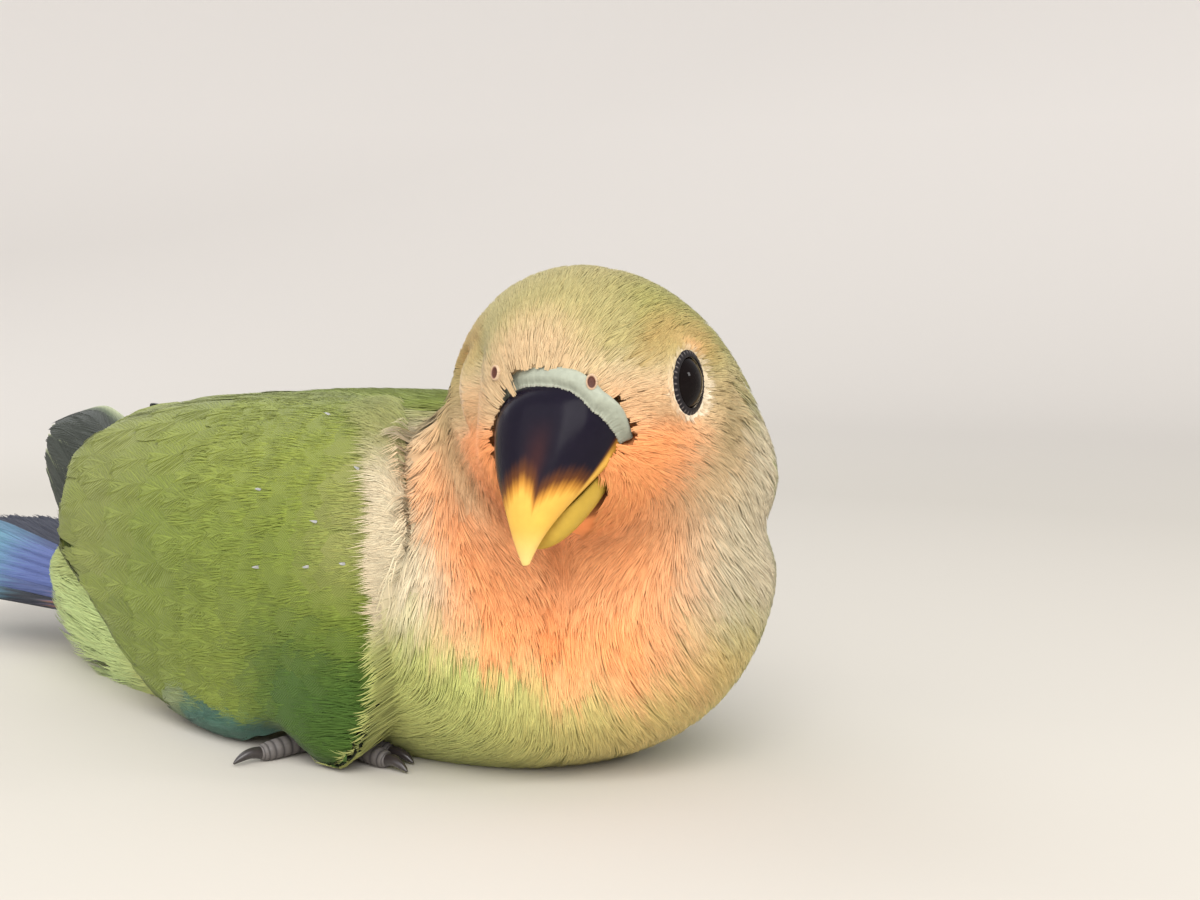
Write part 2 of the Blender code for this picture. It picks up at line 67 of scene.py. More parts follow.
def soft(value: np.ndarray, low: float, high: float) -> np.ndarray:
    """0 up to low, 1 from high on and eased between them."""
    share = np.clip((value - low) / (high - low), 0.0, 1.0)
    return share * share * (3.0 - 2.0 * share)


def unit(vector: np.ndarray) -> np.ndarray:
    """The vectors with a length of one."""
    return vector / np.maximum(np.linalg.norm(vector, axis=-1, keepdims=True), 1e-9)


def dot(first: np.ndarray, second: np.ndarray) -> np.ndarray:
    """The scalar product along the last axis."""
    return (first * second).sum(axis=-1)


def bell(value: np.ndarray, middle: float, spread: float) -> np.ndarray:
    """1 at the middle, falling off on both sides."""
    return np.exp(-(((value - middle) / spread) ** 2))


class Side(Enum):
    """The bird's own left and right."""

    LEFT = 1
    RIGHT = -1

    @property
    def label(self) -> str:
        """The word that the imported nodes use."""
        return self.name.lower()


class HeadFrame:
    """The head's own frame: forward, to the bird's left and up, from the middle of the skull."""

    def __init__(self) -> None:
        """Works out the frame from the head's turn and roll."""
        yaw, roll = math.radians(HEAD_YAW), math.radians(HEAD_ROLL)
        forward = np.array((-math.sin(yaw), -math.cos(yaw), 0.0))
        left = np.cross((0.0, 0.0, 1.0), forward)
        up = np.array((0.0, 0.0, 1.0))
        tilted_left = left * math.cos(roll) + up * math.sin(roll)
        tilted_up = up * math.cos(roll) - left * math.sin(roll)
        self.axes = np.array((forward, tilted_left, tilted_up))
        self.place = np.array(HEAD_PLACE)

    def world(self, local: np.ndarray) -> np.ndarray:
        """Points of the head's frame in the bird's."""
        return np.asarray(local) @ self.axes + self.place

    def local(self, world: np.ndarray) -> np.ndarray:
        """Points of the bird's frame in the head's."""
        return (np.asarray(world) - self.place) @ self.axes.T

    def eye(self, side: Side) -> np.ndarray:
        """The middle of one eyeball in the bird's frame."""
        forward, out, up = EYE_PLACE
        out -= 1.3 if side is Side.RIGHT else 0.0
        return self.world(np.array((forward, out * side.value, up)))

    def nostril(self, side: Side) -> np.ndarray:
        """The middle of one nostril in the bird's frame."""
        forward, out, up = NOSTRIL_PLACES[side.label]
        return self.world(np.array((forward, out, up)))

    def eye_axis(self, side: Side) -> np.ndarray:
        """The direction that one eye looks in, a little ahead of straight out."""
        return unit(np.array((0.1, side.value, 0.02)) @ self.axes)


HEAD = HeadFrame()


class Spline:
    """A natural cubic curve through rows of numbers."""

    def __init__(self, rows: np.ndarray) -> None:
        """Solves the slopes at the rows.

        Args:
            rows: one row of numbers for each whole place along the curve.
        """
        self.rows = np.asarray(rows, float)
        count = len(self.rows)
        system = np.eye(count) * 4.0 + np.eye(count, k=1) + np.eye(count, k=-1)
        system[0, 0] = system[-1, -1] = 2.0
        ahead = self.rows[np.minimum(np.arange(count) + 1, count - 1)]
        behind = self.rows[np.maximum(np.arange(count) - 1, 0)]
        self.slopes = np.linalg.solve(system, 3.0 * (ahead - behind))

    def at(self, place: np.ndarray) -> np.ndarray:
        """The numbers at places along the curve.

        Args:
            place: where to read, counted in rows.

        Returns:
            The numbers there, with a last axis as long as a row.
        """
        low = np.clip(np.floor(place).astype(int), 0, len(self.rows) - 2)
        t = np.asarray(place - low, float)[..., None]
        return (
            self.rows[low] * (2 * t**3 - 3 * t**2 + 1)
            + self.rows[low + 1] * (3 * t**2 - 2 * t**3)
            + self.slopes[low] * (t**3 - 2 * t**2 + t)
            + self.slopes[low + 1] * (t**3 - t**2)
        )


@dataclass
class Lie:
    """How a surface lies at some places: the point, its normal and the steps of u and v."""

    point: np.ndarray
    normal: np.ndarray
    per_u: np.ndarray
    per_v: np.ndarray

    def steps(self, direction: np.ndarray) -> np.ndarray:
        """The change of u and v for a step along the surface.

        Args:
            direction: the step in space, in millimetres.

        Returns:
            The steps of u and v on the last axis.
        """
        e, f, g = dot(self.per_u, self.per_u), dot(self.per_u, self.per_v), dot(self.per_v, self.per_v)
        along_u, along_v = dot(direction, self.per_u), dot(direction, self.per_v)
        area = np.maximum(e * g - f * f, 1e-4)
        return np.stack(((g * along_u - f * along_v) / area, (e * along_v - f * along_u) / area), -1)


Flow = Callable[[Lie], np.ndarray]


class Surface:
    """A smooth surface with a point for every u and v, its outside where u turns to v."""

    hand = 1.0
    last_v = 1.0

    def place(self, u: np.ndarray, v: np.ndarray) -> np.ndarray:
        """The points at u and v."""
        raise NotImplementedError

    def lie(self, u: np.ndarray, v: np.ndarray) -> Lie:
        """Reads the surface with its normals at u and v."""
        small = 2e-3
        per_u = (self.place(u + small, v) - self.place(u - small, v)) / (2 * small)
        per_v = (self.place(u, v + small) - self.place(u, v - small)) / (2 * small)
        normal = unit(np.cross(per_u, per_v)) * self.hand
        return Lie(self.place(u, v), normal, per_u, per_v)


@dataclass(frozen=True)
class Station:
    """One oval section of a loft, and how far it is from round above and below."""

    name: str
    centre: tuple[float, float, float]
    yaw: float
    pitch: float
    half_width: float
    above: float
    below: float
    squareness: float = 2.0
    lower_squareness: float = 2.0


class Loft(Surface):
    """A surface through oval sections. u goes round from the top and v from section to section."""

    def __init__(self, stations: tuple[Station, ...], in_head: bool, poles: bool = False) -> None:
        """Reads the stations.

        Args:
            stations: the sections in order.
            in_head: whether they are given in the head's frame.
            poles: whether the ends close round.
        """
        rows = np.array(
            [
                [*s.centre, s.yaw, s.pitch, s.half_width, s.above, s.below, s.squareness]
                + [s.lower_squareness]
                for s in stations
            ]
        )
        if in_head:
            rows[:, 0], rows[:, 1] = rows[:, 1].copy(), -rows[:, 0]
        else:
            rows[:, :3] += ORIGIN_SHIFT
        self.first = int(poles)
        if poles:
            ends = rows[[1, -2]].copy()
            ends[:, 5:8] *= -1
            rows = np.vstack((ends[:1], rows, ends[1:]))
        self.in_head = in_head
        self.spline = Spline(rows)
        self.last_v = float(len(stations) - 1)

    def place(self, u: np.ndarray, v: np.ndarray) -> np.ndarray:
        """The points at u, in turns from the top, and v, in stations."""
        row = self.spline.at(np.asarray(v, float) + self.first)
        yaw, pitch = np.radians(row[..., 3]), np.radians(row[..., 4])
        across_axis = np.stack((np.cos(yaw), -np.sin(yaw), yaw * 0), -1)
        high_axis = np.stack(
            (np.sin(pitch) * np.sin(yaw), np.sin(pitch) * np.cos(yaw), np.cos(pitch)), -1
        )
        sine, cosine = np.sin(2 * np.pi * u), np.cos(2 * np.pi * u)
        power = 2 / np.where(cosine > 0, row[..., 8], row[..., 9])
        across = np.sign(sine) * np.abs(sine) ** power * row[..., 5]
        high = np.sign(cosine) * np.abs(cosine) ** power
        high = high * np.where(cosine > 0, row[..., 6], row[..., 7])
        point = row[..., :3] + across[..., None] * across_axis + high[..., None] * high_axis
        if self.in_head:
            point = HEAD.world(np.stack((-point[..., 1], point[..., 0], point[..., 2]), -1))
        return point


class Body(Loft):
    """The whole bird's loft, narrow before the eyes, even round their rims and nicked at the neck."""

    rim_level = 2.4
    rim_radius = 3.4
    reach = 5.4
    nick = np.array((11.9, -72.1, 26.0))
    nick_way = np.array((0.643, -0.766, 0.0))

    def place(self, u: np.ndarray, v: np.ndarray) -> np.ndarray:
        """The points at u, in turns from the top, and v, in stations."""
        point = super().place(u, v)
        away = point - self.nick
        beside = np.hypot(away[..., 0], away[..., 1])
        dent = bell(away[..., 2], 0.0, 3.4) * bell(beside, 0.0, 9.0) * 1.7
        point = point - self.nick_way * dent[..., None]
        head = HEAD.local(point)
        narrow = bell(head[..., 0], 8.0, 4.0) * bell(head[..., 2], 1.5, 6.5)
        narrow = narrow * (0.11 + 0.19 * soft(head[..., 1], 0.0, -5.0))
        point = point - HEAD.axes[1] * (head[..., 1] * narrow)[..., None]
        for side in Side:
            axis = HEAD.eye_axis(side)
            away = point - HEAD.eye(side)
            deep = dot(away, axis)
            radial = np.linalg.norm(away - deep[..., None] * axis, axis=-1)
            near = soft(radial, self.reach, self.rim_radius) * (deep > -2.0)
            point = point + axis * ((self.rim_level - deep) * near)[..., None]
        return point


class Tube(Surface):
    """A round tube along a curved path. u goes round it and v along it from point to point."""

    def __init__(self, points: np.ndarray, radii: np.ndarray) -> None:
        """Takes the path's points and the radius at each of them."""
        self.spline = Spline(np.column_stack((points, radii)))
        self.last_v = float(len(radii) - 1)

    def place(self, u: np.ndarray, v: np.ndarray) -> np.ndarray:
        """The points at u, in turns from the top, and v, in points of the path."""
        v = np.asarray(v, float)
        row = self.spline.at(v)
        ahead = unit(self.spline.at(v + 0.05)[..., :3] - self.spline.at(v - 0.05)[..., :3])
        side = unit(np.cross(ahead, (0.0, 0.0, 1.0)))
        up = np.cross(side, ahead)
        turn = 2 * np.pi * np.asarray(u)[..., None]
        return row[..., :3] + (np.cos(turn) * up + np.sin(turn) * side) * row[..., 3:]


class GridSurface(Surface):
    """A surface read between the points of a fine grid, on past its edges too."""

    def __init__(self, grid: np.ndarray, hand: float = 1.0) -> None:
        """Takes the points as rows along v of points along u."""
        self.hand = hand
        per_v, per_u = np.gradient(grid, axis=(0, 1))
        per_v, per_u = per_v * (grid.shape[0] - 1), per_u * (grid.shape[1] - 1)
        normal = unit(np.cross(per_u, per_v)) * hand
        self.values = np.concatenate((grid, normal, per_u, per_v), -1)

    def read(self, u: np.ndarray, v: np.ndarray) -> np.ndarray:
        """Every value at u and v, between the grid's points."""
        rows, columns = self.values.shape[:2]
        x, y = np.asarray(u, float) * (columns - 1), np.asarray(v, float) * (rows - 1)
        column = np.clip(np.floor(x).astype(int), 0, columns - 2)
        row = np.clip(np.floor(y).astype(int), 0, rows - 2)
        x, y = (x - column)[..., None], (y - row)[..., None]
        low = self.values[row, column] * (1 - x) + self.values[row, column + 1] * x
        high = self.values[row + 1, column] * (1 - x) + self.values[row + 1, column + 1] * x
        return low * (1 - y) + high * y

    def place(self, u: np.ndarray, v: np.ndarray) -> np.ndarray:
        """The points at u and v."""
        return self.read(u, v)[..., :3]

    def lie(self, u: np.ndarray, v: np.ndarray) -> Lie:
        """Reads the surface with its normals at u and v."""
        values = self.read(u, v)
        return Lie(values[..., :3], unit(values[..., 3:6]), values[..., 6:9], values[..., 9:12])


class Solids:
    """Some solids, for finding what lies over or beside a point."""

    def __init__(self, *meshes: bpy.types.Mesh) -> None:
        """Builds a search tree from meshes, in millimetres."""
        points, faces = [], []
        for mesh in meshes:
            start = len(points)
            points += [tuple(vertex.co / MM) for vertex in mesh.vertices]
            faces += [[start + i for i in polygon.vertices] for polygon in mesh.polygons]
        self.tree = BVHTree.FromPolygons(points, faces)

    @classmethod
    def packed(cls, *names: str) -> "Solids":
        """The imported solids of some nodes."""
        return cls(*(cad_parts[name].data for name in names))

    def cast(self, origin: np.ndarray, direction: np.ndarray, reach: float) -> np.ndarray:
        """How far rays go before they meet the nodes.

        Args:
            origin: where each ray starts.
            direction: its direction, of length one.
            reach: how far to look.

        Returns:
            The distance of each ray, infinite where it meets nothing.
        """
        found = np.full(len(origin), np.inf)
        for i, (start, way) in enumerate(zip(origin.tolist(), direction.tolist())):
            hit = self.tree.ray_cast(start, way, reach)
            if hit[0] is not None:
                found[i] = hit[3]
        return found

    def distance(self, point: np.ndarray, reach: float) -> np.ndarray:
        """How far each point is from the solids' surfaces, and at most the reach."""
        found = (self.tree.find_nearest(p, reach)[3] for p in point.reshape(-1, 3).tolist())
        return np.array([reach if d is None else d for d in found]).reshape(point.shape[:-1])


@dataclass
class Shape:
    """A mesh in the making: its faces, and its points with their colour, unwrap and place on a vane.

    Its points have normals to be shaded with too, zero where they follow from the faces.
    """

    points: np.ndarray
    quads: np.ndarray
    triangles: np.ndarray
    colour: np.ndarray
    unwrap: np.ndarray
    vane: np.ndarray
    normals: np.ndarray

    @property
    def size(self) -> int:
        """The number of triangles."""
        return 2 * len(self.quads) + len(self.triangles)

    @staticmethod
    def joined(shapes: list["Shape"]) -> "Shape":
        """One shape of several."""
        starts = np.cumsum([0] + [len(shape.points) for shape in shapes[:-1]])
        return Shape(
            np.concatenate([shape.points for shape in shapes]),
            np.concatenate([shape.quads + start for shape, start in zip(shapes, starts)]),
            np.concatenate([shape.triangles + start for shape, start in zip(shapes, starts)]),
            np.concatenate([shape.colour for shape in shapes]),
            np.concatenate([shape.unwrap for shape in shapes]),
            np.concatenate([shape.vane for shape in shapes]),
            np.concatenate([shape.normals for shape in shapes]),
        )

    def face_unwrap(self, corners: np.ndarray) -> np.ndarray:
        """The unwrap at the faces' corners, whole where a face crosses its seam."""
        places = self.unwrap[corners]
        u = places[..., 0]
        crossing = (u.max(-1) - u.min(-1)) > 0.5
        places[..., 0] = u + (crossing[:, None] & (u < 0.5))
        return places.reshape(-1, 2)

    def to_piece(
        self, name: str, material: bpy.types.Material, slot: str, stands_for: tuple[str, ...] = ()
    ) -> bpy.types.Object:
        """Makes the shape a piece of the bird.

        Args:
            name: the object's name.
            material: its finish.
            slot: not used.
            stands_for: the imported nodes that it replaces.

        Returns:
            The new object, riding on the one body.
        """
        mesh = bpy.data.meshes.new(name)
        mesh.vertices.add(len(self.points))
        mesh.vertices.foreach_set("co", (self.points * MM).astype(np.float32).ravel())
        corners = np.concatenate((self.quads.ravel(), self.triangles.ravel()))
        quad_loops = 4 * len(self.quads)
        starts = np.concatenate(
            (np.arange(len(self.quads)) * 4, quad_loops + np.arange(len(self.triangles)) * 3)
        )
        mesh.loops.add(len(corners))
        mesh.polygons.add(len(starts))
        mesh.loops.foreach_set("vertex_index", corners.astype(np.int32))
        mesh.polygons.foreach_set("loop_start", starts.astype(np.int32))
        mesh.update(calc_edges=True)
        mesh.shade_smooth()
        opaque = np.column_stack((self.colour, np.ones(len(self.colour))))
        marks = mesh.attributes.new("marking", "FLOAT_COLOR", "POINT")
        marks.data.foreach_set("color", opaque.astype(np.float32).ravel())
        vane = mesh.attributes.new("vane", "FLOAT_VECTOR", "POINT")
        vane.data.foreach_set("vector", self.vane.astype(np.float32).ravel())
        layer = mesh.uv_layers.new(name="OFBake")
        places = np.concatenate((self.face_unwrap(self.quads), self.face_unwrap(self.triangles)))
        layer.uv.foreach_set("vector", places.astype(np.float32).ravel())
        if self.normals.any():
            mesh.normals_split_custom_set_from_vertices(self.normals)
        mesh.materials.append(material)
        piece = bpy.data.objects.new(name, mesh)
        bpy.context.scene.collection.objects.link(piece)
        return adopt(piece, stands_for)


def adopt(piece: bpy.types.Object, stands_for: tuple[str, ...] = ()) -> bpy.types.Object:
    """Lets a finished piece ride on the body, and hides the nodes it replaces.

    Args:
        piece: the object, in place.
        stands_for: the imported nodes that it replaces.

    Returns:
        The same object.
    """
    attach(piece, "root")
    if stands_for:
        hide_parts(*stands_for)
    triangles = sum(len(polygon.vertices) - 2 for polygon in piece.data.polygons)
    log.info("%s: %d triangles", piece.name, triangles)
    return piece


def unwrapped(surface: Surface, u: np.ndarray, v: np.ndarray) -> np.ndarray:
    """Where u and v lie on the unwrap of a surface's own shape."""
    return np.stack((u, np.clip(v / surface.last_v, 0.0, 1.0)), -1)


def loft_shape(surface: Surface, u: np.ndarray, v: np.ndarray, points: np.ndarray | None = None) -> Shape:
    """A closed shape round a surface, each end drawn together in one point.

    Args:
        surface: the surface, round in u.
        u: the places round it, without the last one that meets the first.
        v: the places along it.
        points: the grid's points where they aren't the surface's own.

    Returns:
        The shape, in a plain white.
    """
    around, along = len(u), len(v)
    grid_u, grid_v = np.meshgrid(u, v)
    if points is None:
        points = surface.place(grid_u, grid_v)
    ends = points[[0, -1]].mean(1)
    index = np.arange(along * around).reshape(along, around)
    after = np.roll(index, -1, axis=1)
    quads = np.stack((index[:-1], after[:-1], after[1:], index[1:]), -1).reshape(-1, 4)
    first, last = along * around, along * around + 1
    triangles = np.concatenate(
        (
            np.column_stack((np.full(around, first), after[0], index[0])),
            np.column_stack((np.full(around, last), index[-1], after[-1])),
        )
    )
    if surface.hand < 0:
        quads, triangles = quads[:, ::-1], triangles[:, ::-1]
    places = unwrapped(surface, grid_u, grid_v).reshape(-1, 2)
    places = np.concatenate((places, [[0.5, places[0, 1]], [0.5, places[-1, 1]]]))
    everything = np.concatenate((points.reshape(-1, 3), ends))
    blank = np.zeros_like(everything)
    return Shape(everything, quads, triangles, blank + 1, places, blank, blank)


def spikes(
    path: np.ndarray, normal: np.ndarray, width: np.ndarray, colour: np.ndarray, unwrap: np.ndarray
) -> Shape:
    """Thin three-sided barbs, closed at the root and drawn out to a point.

    Args:
        path: for each barb the points from its root to its tip.
        normal: the outward direction at each of them.
        width: the barb's width at each point but the last.
        colour: the colour at each point.
        unwrap: each point's place on the unwrap.

    Returns:
        All of the barbs as one shape.
    """
    count, steps = path.shape[:2]
    ahead = unit(np.gradient(path, axis=1))
    side = unit(np.cross(ahead, normal))
    up = np.cross(side, ahead)
    half = side[:, :-1] * width[..., None] * 0.5
    ring = np.stack((half, up[:, :-1] * width[..., None] * -0.35, -half), 2)
    body = (path[:, :-1, None] + ring).reshape(count, -1, 3)
    points = np.concatenate((body, path[:, -1:]), 1)
    per_barb = points.shape[1]
    corner = np.arange(3)
    after = (corner + 1) % 3
    rings = 3 * np.arange(steps - 2)[:, None]
    quads = np.stack((rings + corner, rings + after, rings + 3 + after, rings + 3 + corner), -1)
    lean = np.array((0.45, 0.0, -0.45))[:, None]
    facing = unit(normal[:, :-1, None] + side[:, :-1, None] * lean).reshape(count, -1, 3)
    facing = np.concatenate((facing, normal[:, -1:]), 1).reshape(-1, 3)
    last = 3 * (steps - 2)
    tips = np.column_stack((last + corner, last + after, np.full(3, per_barb - 1)))
    triangles = np.concatenate((tips, [[0, 2, 1]]))
    starts = (np.arange(count) * per_barb)[:, None, None]

    def spread(values: np.ndarray) -> np.ndarray:
        """The values of the rings' points and the tips, one for each point."""
        repeated = np.repeat(values[:, :-1], 3, axis=1)
        return np.concatenate((repeated, values[:, -1:]), 1).reshape(-1, values.shape[-1])

    tinted = spread(colour)
    return Shape(
        points.reshape(-1, 3),
        (quads.reshape(-1, 4) + starts).reshape(-1, 4),
        (triangles + starts).reshape(-1, 3),
        tinted,
        spread(unwrap),
        tinted * 0,
        facing,
    )


def plates(
    top: np.ndarray, normal: np.ndarray, thickness: float, colour: np.ndarray,
    unwrap: np.ndarray, vane: np.ndarray,
) -> Shape:
    """Thin closed blades, each a grid of points along and across it.

    Args:
        top: for each blade its rows of points, from root to tip.
        normal: the outward direction at each of them.
        thickness: from the upper side to the lower one.
        colour: the colour at each point.
        unwrap: each point's place on the unwrap.
        vane: each point's place on its own feather.

    Returns:
        All of the blades as one shape.
    """
    count, along, across = top.shape[:3]
    bottom = top - normal * thickness
    index = np.arange(along * across).reshape(along, across)
    face = np.stack((index[:-1, :-1], index[:-1, 1:], index[1:, 1:], index[1:, :-1]), -1)
    rim = np.concatenate((index[0, :-1], index[:-1, -1], index[-1, :0:-1], index[:0:-1, 0]))
    below = rim + along * across
    walls = np.stack((rim, below, np.roll(below, -1), np.roll(rim, -1)), -1)
    quads = np.concatenate(
        (face.reshape(-1, 4), (face + along * across).reshape(-1, 4)[:, ::-1], walls)
    )
    per_blade = 2 * along * across
    starts = (np.arange(count) * per_blade)[:, None, None]

    def doubled(values: np.ndarray) -> np.ndarray:
        """The upper side's values again for the lower one."""
        flat = values.reshape(count, along * across, -1)
        return np.concatenate((flat, flat), 1).reshape(count * per_blade, -1)

    points = np.concatenate((top.reshape(count, -1, 3), bottom.reshape(count, -1, 3)), 1)
    facing = normal.reshape(count, -1, 3)
    facing = np.concatenate((facing, -facing), 1).reshape(-1, 3)
    return Shape(
        points.reshape(-1, 3),
        (quads + starts).reshape(-1, 4),
        np.zeros((0, 3), int),
        doubled(colour),
        doubled(unwrap),
        doubled(vane),
        facing,
    )


class Markings:
    """The colour of the bird's plumage at any place, the same for its skin and its coat, with painted shade and
    painted light in a few places.
    """

    back = (0.215, 0.265, 0.045)
    flank = (0.330, 0.370, 0.110)
    belly = (0.500, 0.530, 0.170)
    belly_yellow = (0.760, 0.560, 0.220)
    undertail = (0.520, 0.640, 0.260)
    rump = (0.070, 0.250, 0.500)
    collar = (0.650, 0.550, 0.370)
    peach = (0.980, 0.365, 0.135)
    pale_peach = (0.770, 0.395, 0.195)
    crown = (0.410, 0.350, 0.150)
    nape = (0.320, 0.330, 0.100)
    forehead = (0.590, 0.420, 0.240)
    cheek = (0.610, 0.435, 0.245)
    ear = (0.375, 0.285, 0.142)
    eye_ring = (0.830, 0.700, 0.520)
    brow_orange = (0.740, 0.420, 0.190)
    brow_dark = (0.420, 0.290, 0.110)
    bib_centre = np.array((-9.5, -59.5, 0.0))
    bib_side = np.array((0.533, -0.846, 0.0))
    bib_facing = np.array((-0.846, -0.533, 0.0))

    def at(self, point: np.ndarray) -> np.ndarray:
        """The plumage's colour at points of the bird's frame."""
        flat = point.reshape(-1, 3)
        head = HEAD.local(flat)
        colour = self.body(flat)
        colour = self.bib(colour, flat, head)
        return np.clip(self.face(colour, flat, head), 0.0, 0.98).reshape(point.shape)

    @staticmethod
    def over(colour: np.ndarray, paint: Colour, mask: np.ndarray) -> np.ndarray:
        """The colour with a paint laid over it where the mask says."""
        return colour + (np.array(paint) - colour) * mask[:, None]

    def body(self, point: np.ndarray) -> np.ndarray:
        """The greens of the trunk, with its yellow breast below and its blue rump."""
        y, z = point[:, 1], point[:, 2]
        across = dot(point - self.bib_centre, self.bib_side)
        ahead = dot(point - self.bib_centre, self.bib_facing)
        colour = np.broadcast_to(self.back, point.shape).copy()
        colour = self.over(colour, self.flank, soft(z, 27, 15))
        colour = self.over(colour, self.belly, soft(z, 13, 4))
        colour = self.over(colour, self.undertail, soft(y, 4, 18) * soft(z, 18, 9))
        colour = self.over(colour, self.rump, soft(y, 12, 22) * soft(z, 19, 25))
        front = soft(ahead, -13, -4)
        low = soft(z, 21, 11)
        colour = self.over(colour, self.belly, front * low)
        colour = self.over(colour, self.belly_yellow, front * low * soft(across, -13, 14) * 0.9)
        return self.over(colour, self.collar, soft(ahead, -15, -8) * (1 - low))

    def bib(self, colour: np.ndarray, point: np.ndarray, head: np.ndarray) -> np.ndarray:
        """The peach of the throat and the upper breast, with painted shade in its parting and towards its sides."""
        across = dot(point - self.bib_centre, self.bib_side)
        ahead = dot(point - self.bib_centre, self.bib_facing)
        wobble = 0.9 * np.sin(across * 0.9 + 1.0) + 0.6 * np.sin(across * 2.1 + point[:, 2] * 0.3)
        z = point[:, 2] + wobble
        height = soft(z - 5.5 * soft(across, 3, -12), 6.0, 13.0) * soft(z, 40, 30)
        front = soft(ahead, -8, -2)
        wide = soft(np.abs(across - 1.0), 17.5, 9.5) * height * front
        colour = self.over(colour, self.pale_peach, wide * 0.85)
        narrow = soft(np.abs(across), 14, 6) * soft(z - 3 * soft(across, 3, -12), 8.5, 15) * soft(z, 38, 30) * front
        colour = self.over(colour, self.peach, narrow * 0.95)
        # painted shade: the parting down the middle of the bib, darker and deeper in hue
        parting_shade = bell(across + 1.0, 0.0, 1.5) * bell(point[:, 2], 23.0, 8.0) * front
        colour = colour * (1 - parting_shade[:, None] * (0.26, 0.46, 0.62))
        # painted shade towards the sides of the bib, most on the side towards the bird's left and a little low on
        # its right
        shade = soft(across, 7, 17) * front * 0.15 + soft(across, -5, -12) * soft(z, 15, 9) * front * 0.06
        return colour * (1 - shade[:, None])

    def face(self, colour: np.ndarray, point: np.ndarray, head: np.ndarray) -> np.ndarray:
        """The dull green-brown crown, pale forehead, peach cheeks and the marks round the eyes, with painted shade
        on the head's left side.
        """
        forward, out, up = head[:, 0], np.abs(head[:, 1]), head[:, 2]
        near = soft(np.linalg.norm(head * (1.0, 1.0, 0.9), axis=1), 24, 18.5) * soft(forward, -15, -8)
        colour = self.over(colour, self.nape, soft(forward, 3, -9) * soft(up, -7, 2) * near)
        side = near * soft(forward, -9, -1) * soft(up, 5, 0)
        colour = self.over(colour, self.cheek, side * soft(up, -14, -8))
        colour = self.over(colour, self.ear, side * soft(forward, 2.5, -2.5) * soft(up, -9, -3))
        colour = self.over(colour, self.crown, near * soft(up, 1.0, 6.5) * soft(forward, -14, -6))
        colour = self.over(colour, self.crown, near * soft(up, -1, 4) * soft(forward, 4, -2) * 0.6)
        # painted shade: a darker, greener tone laid only over the head's left side, from the eye up and back
        near_crown_shade = near * soft(head[:, 1], 3, 10) * soft(up, 2, 6) * soft(forward, 8, 3)
        colour = self.over(colour, (0.315, 0.310, 0.085), near_crown_shade * 0.7)
        beak = np.linalg.norm((head - (12.5, 0.0, 2.0)) / (8.5, 8.5, 10.0), axis=1)
        colour = self.over(colour, self.forehead, near * soft(beak, 1.1, 0.45))
        lores = bell(forward, 10.0, 4.0) * bell(up, -0.5, 3.5) * soft(out, 4, 8)
        colour = self.over(colour, self.pale_peach, near * lores * 0.5)
        cheek = soft(forward, 0.5, 6.5) * soft(up, -0.5, -4.5)
        colour = self.over(colour, self.pale_peach, near * soft(forward, -2, 3.5) * soft(up, 0, -5) * 0.8)
        colour = self.over(colour, self.peach, near * cheek * 0.95)
        eye_forward, eye_out, eye_up = EYE_PLACE
        from_eye = np.hypot(forward - eye_forward, (up - eye_up))
        angle = np.arctan2(up - eye_up, forward - eye_forward)
        beside = soft(out, 8, 10.5)
        dark = bell(from_eye, 5.6, 2.2) * soft(np.sin(angle), 0.0, 0.8) * beside
        colour = self.over(colour, self.brow_dark, dark * 0.9)
        orange = bell(from_eye, 4.1, 0.6) * bell(angle, 1.9, 0.5) * beside
        colour = self.over(colour, self.brow_orange, orange * 0.8)
        ring = soft(from_eye, 4.12, 3.66) * beside * (0.6 + 0.4 * soft(np.sin(angle), 0.5, -0.6))
        return self.over(colour, self.eye_ring, ring * 0.9)

    def wing(self, point: np.ndarray) -> np.ndarray:
        """The folded wing's mossy green, with painted light making it lighter above, and emerald below in front,
        deepened by painted shade.
        """
        flat = point.reshape(-1, 3)
        y, z = flat[:, 1], flat[:, 2]
        colour = np.broadcast_to((0.195, 0.250, 0.034), flat.shape).copy()
        # painted light: the wing's upper part a little lighter
        colour = self.over(colour, (0.220, 0.260, 0.036), soft(z, 22, 36))
        # emerald low in front: the wing's own deeper green, darkened further by painted shade
        colour = self.over(colour, (0.055, 0.115, 0.014), soft(y, -19, -33) * soft(z, 21, 8))
        colour = self.over(colour, (0.245, 0.270, 0.065), soft(y, -4, 12) * soft(z, 8, 20) * 0.6)
        colour = self.over(colour, (0.290, 0.290, 0.095), soft(y, -31, -41) * soft(z, 16, 26) * 0.8)
        edge = soft(y, -2, -6) * soft(z, 7, 4) * soft(y, -16, -11)
        colour = self.over(colour, (0.230, 0.270, 0.150), edge * 0.7)
        teal = soft(z, 4.4, 2.8) * soft(y, -31, -27) * soft(y, -9, -12)
        colour = self.over(colour, (0.030, 0.120, 0.110), teal * 0.85)
        return colour.reshape(point.shape)


MARKINGS = Markings()


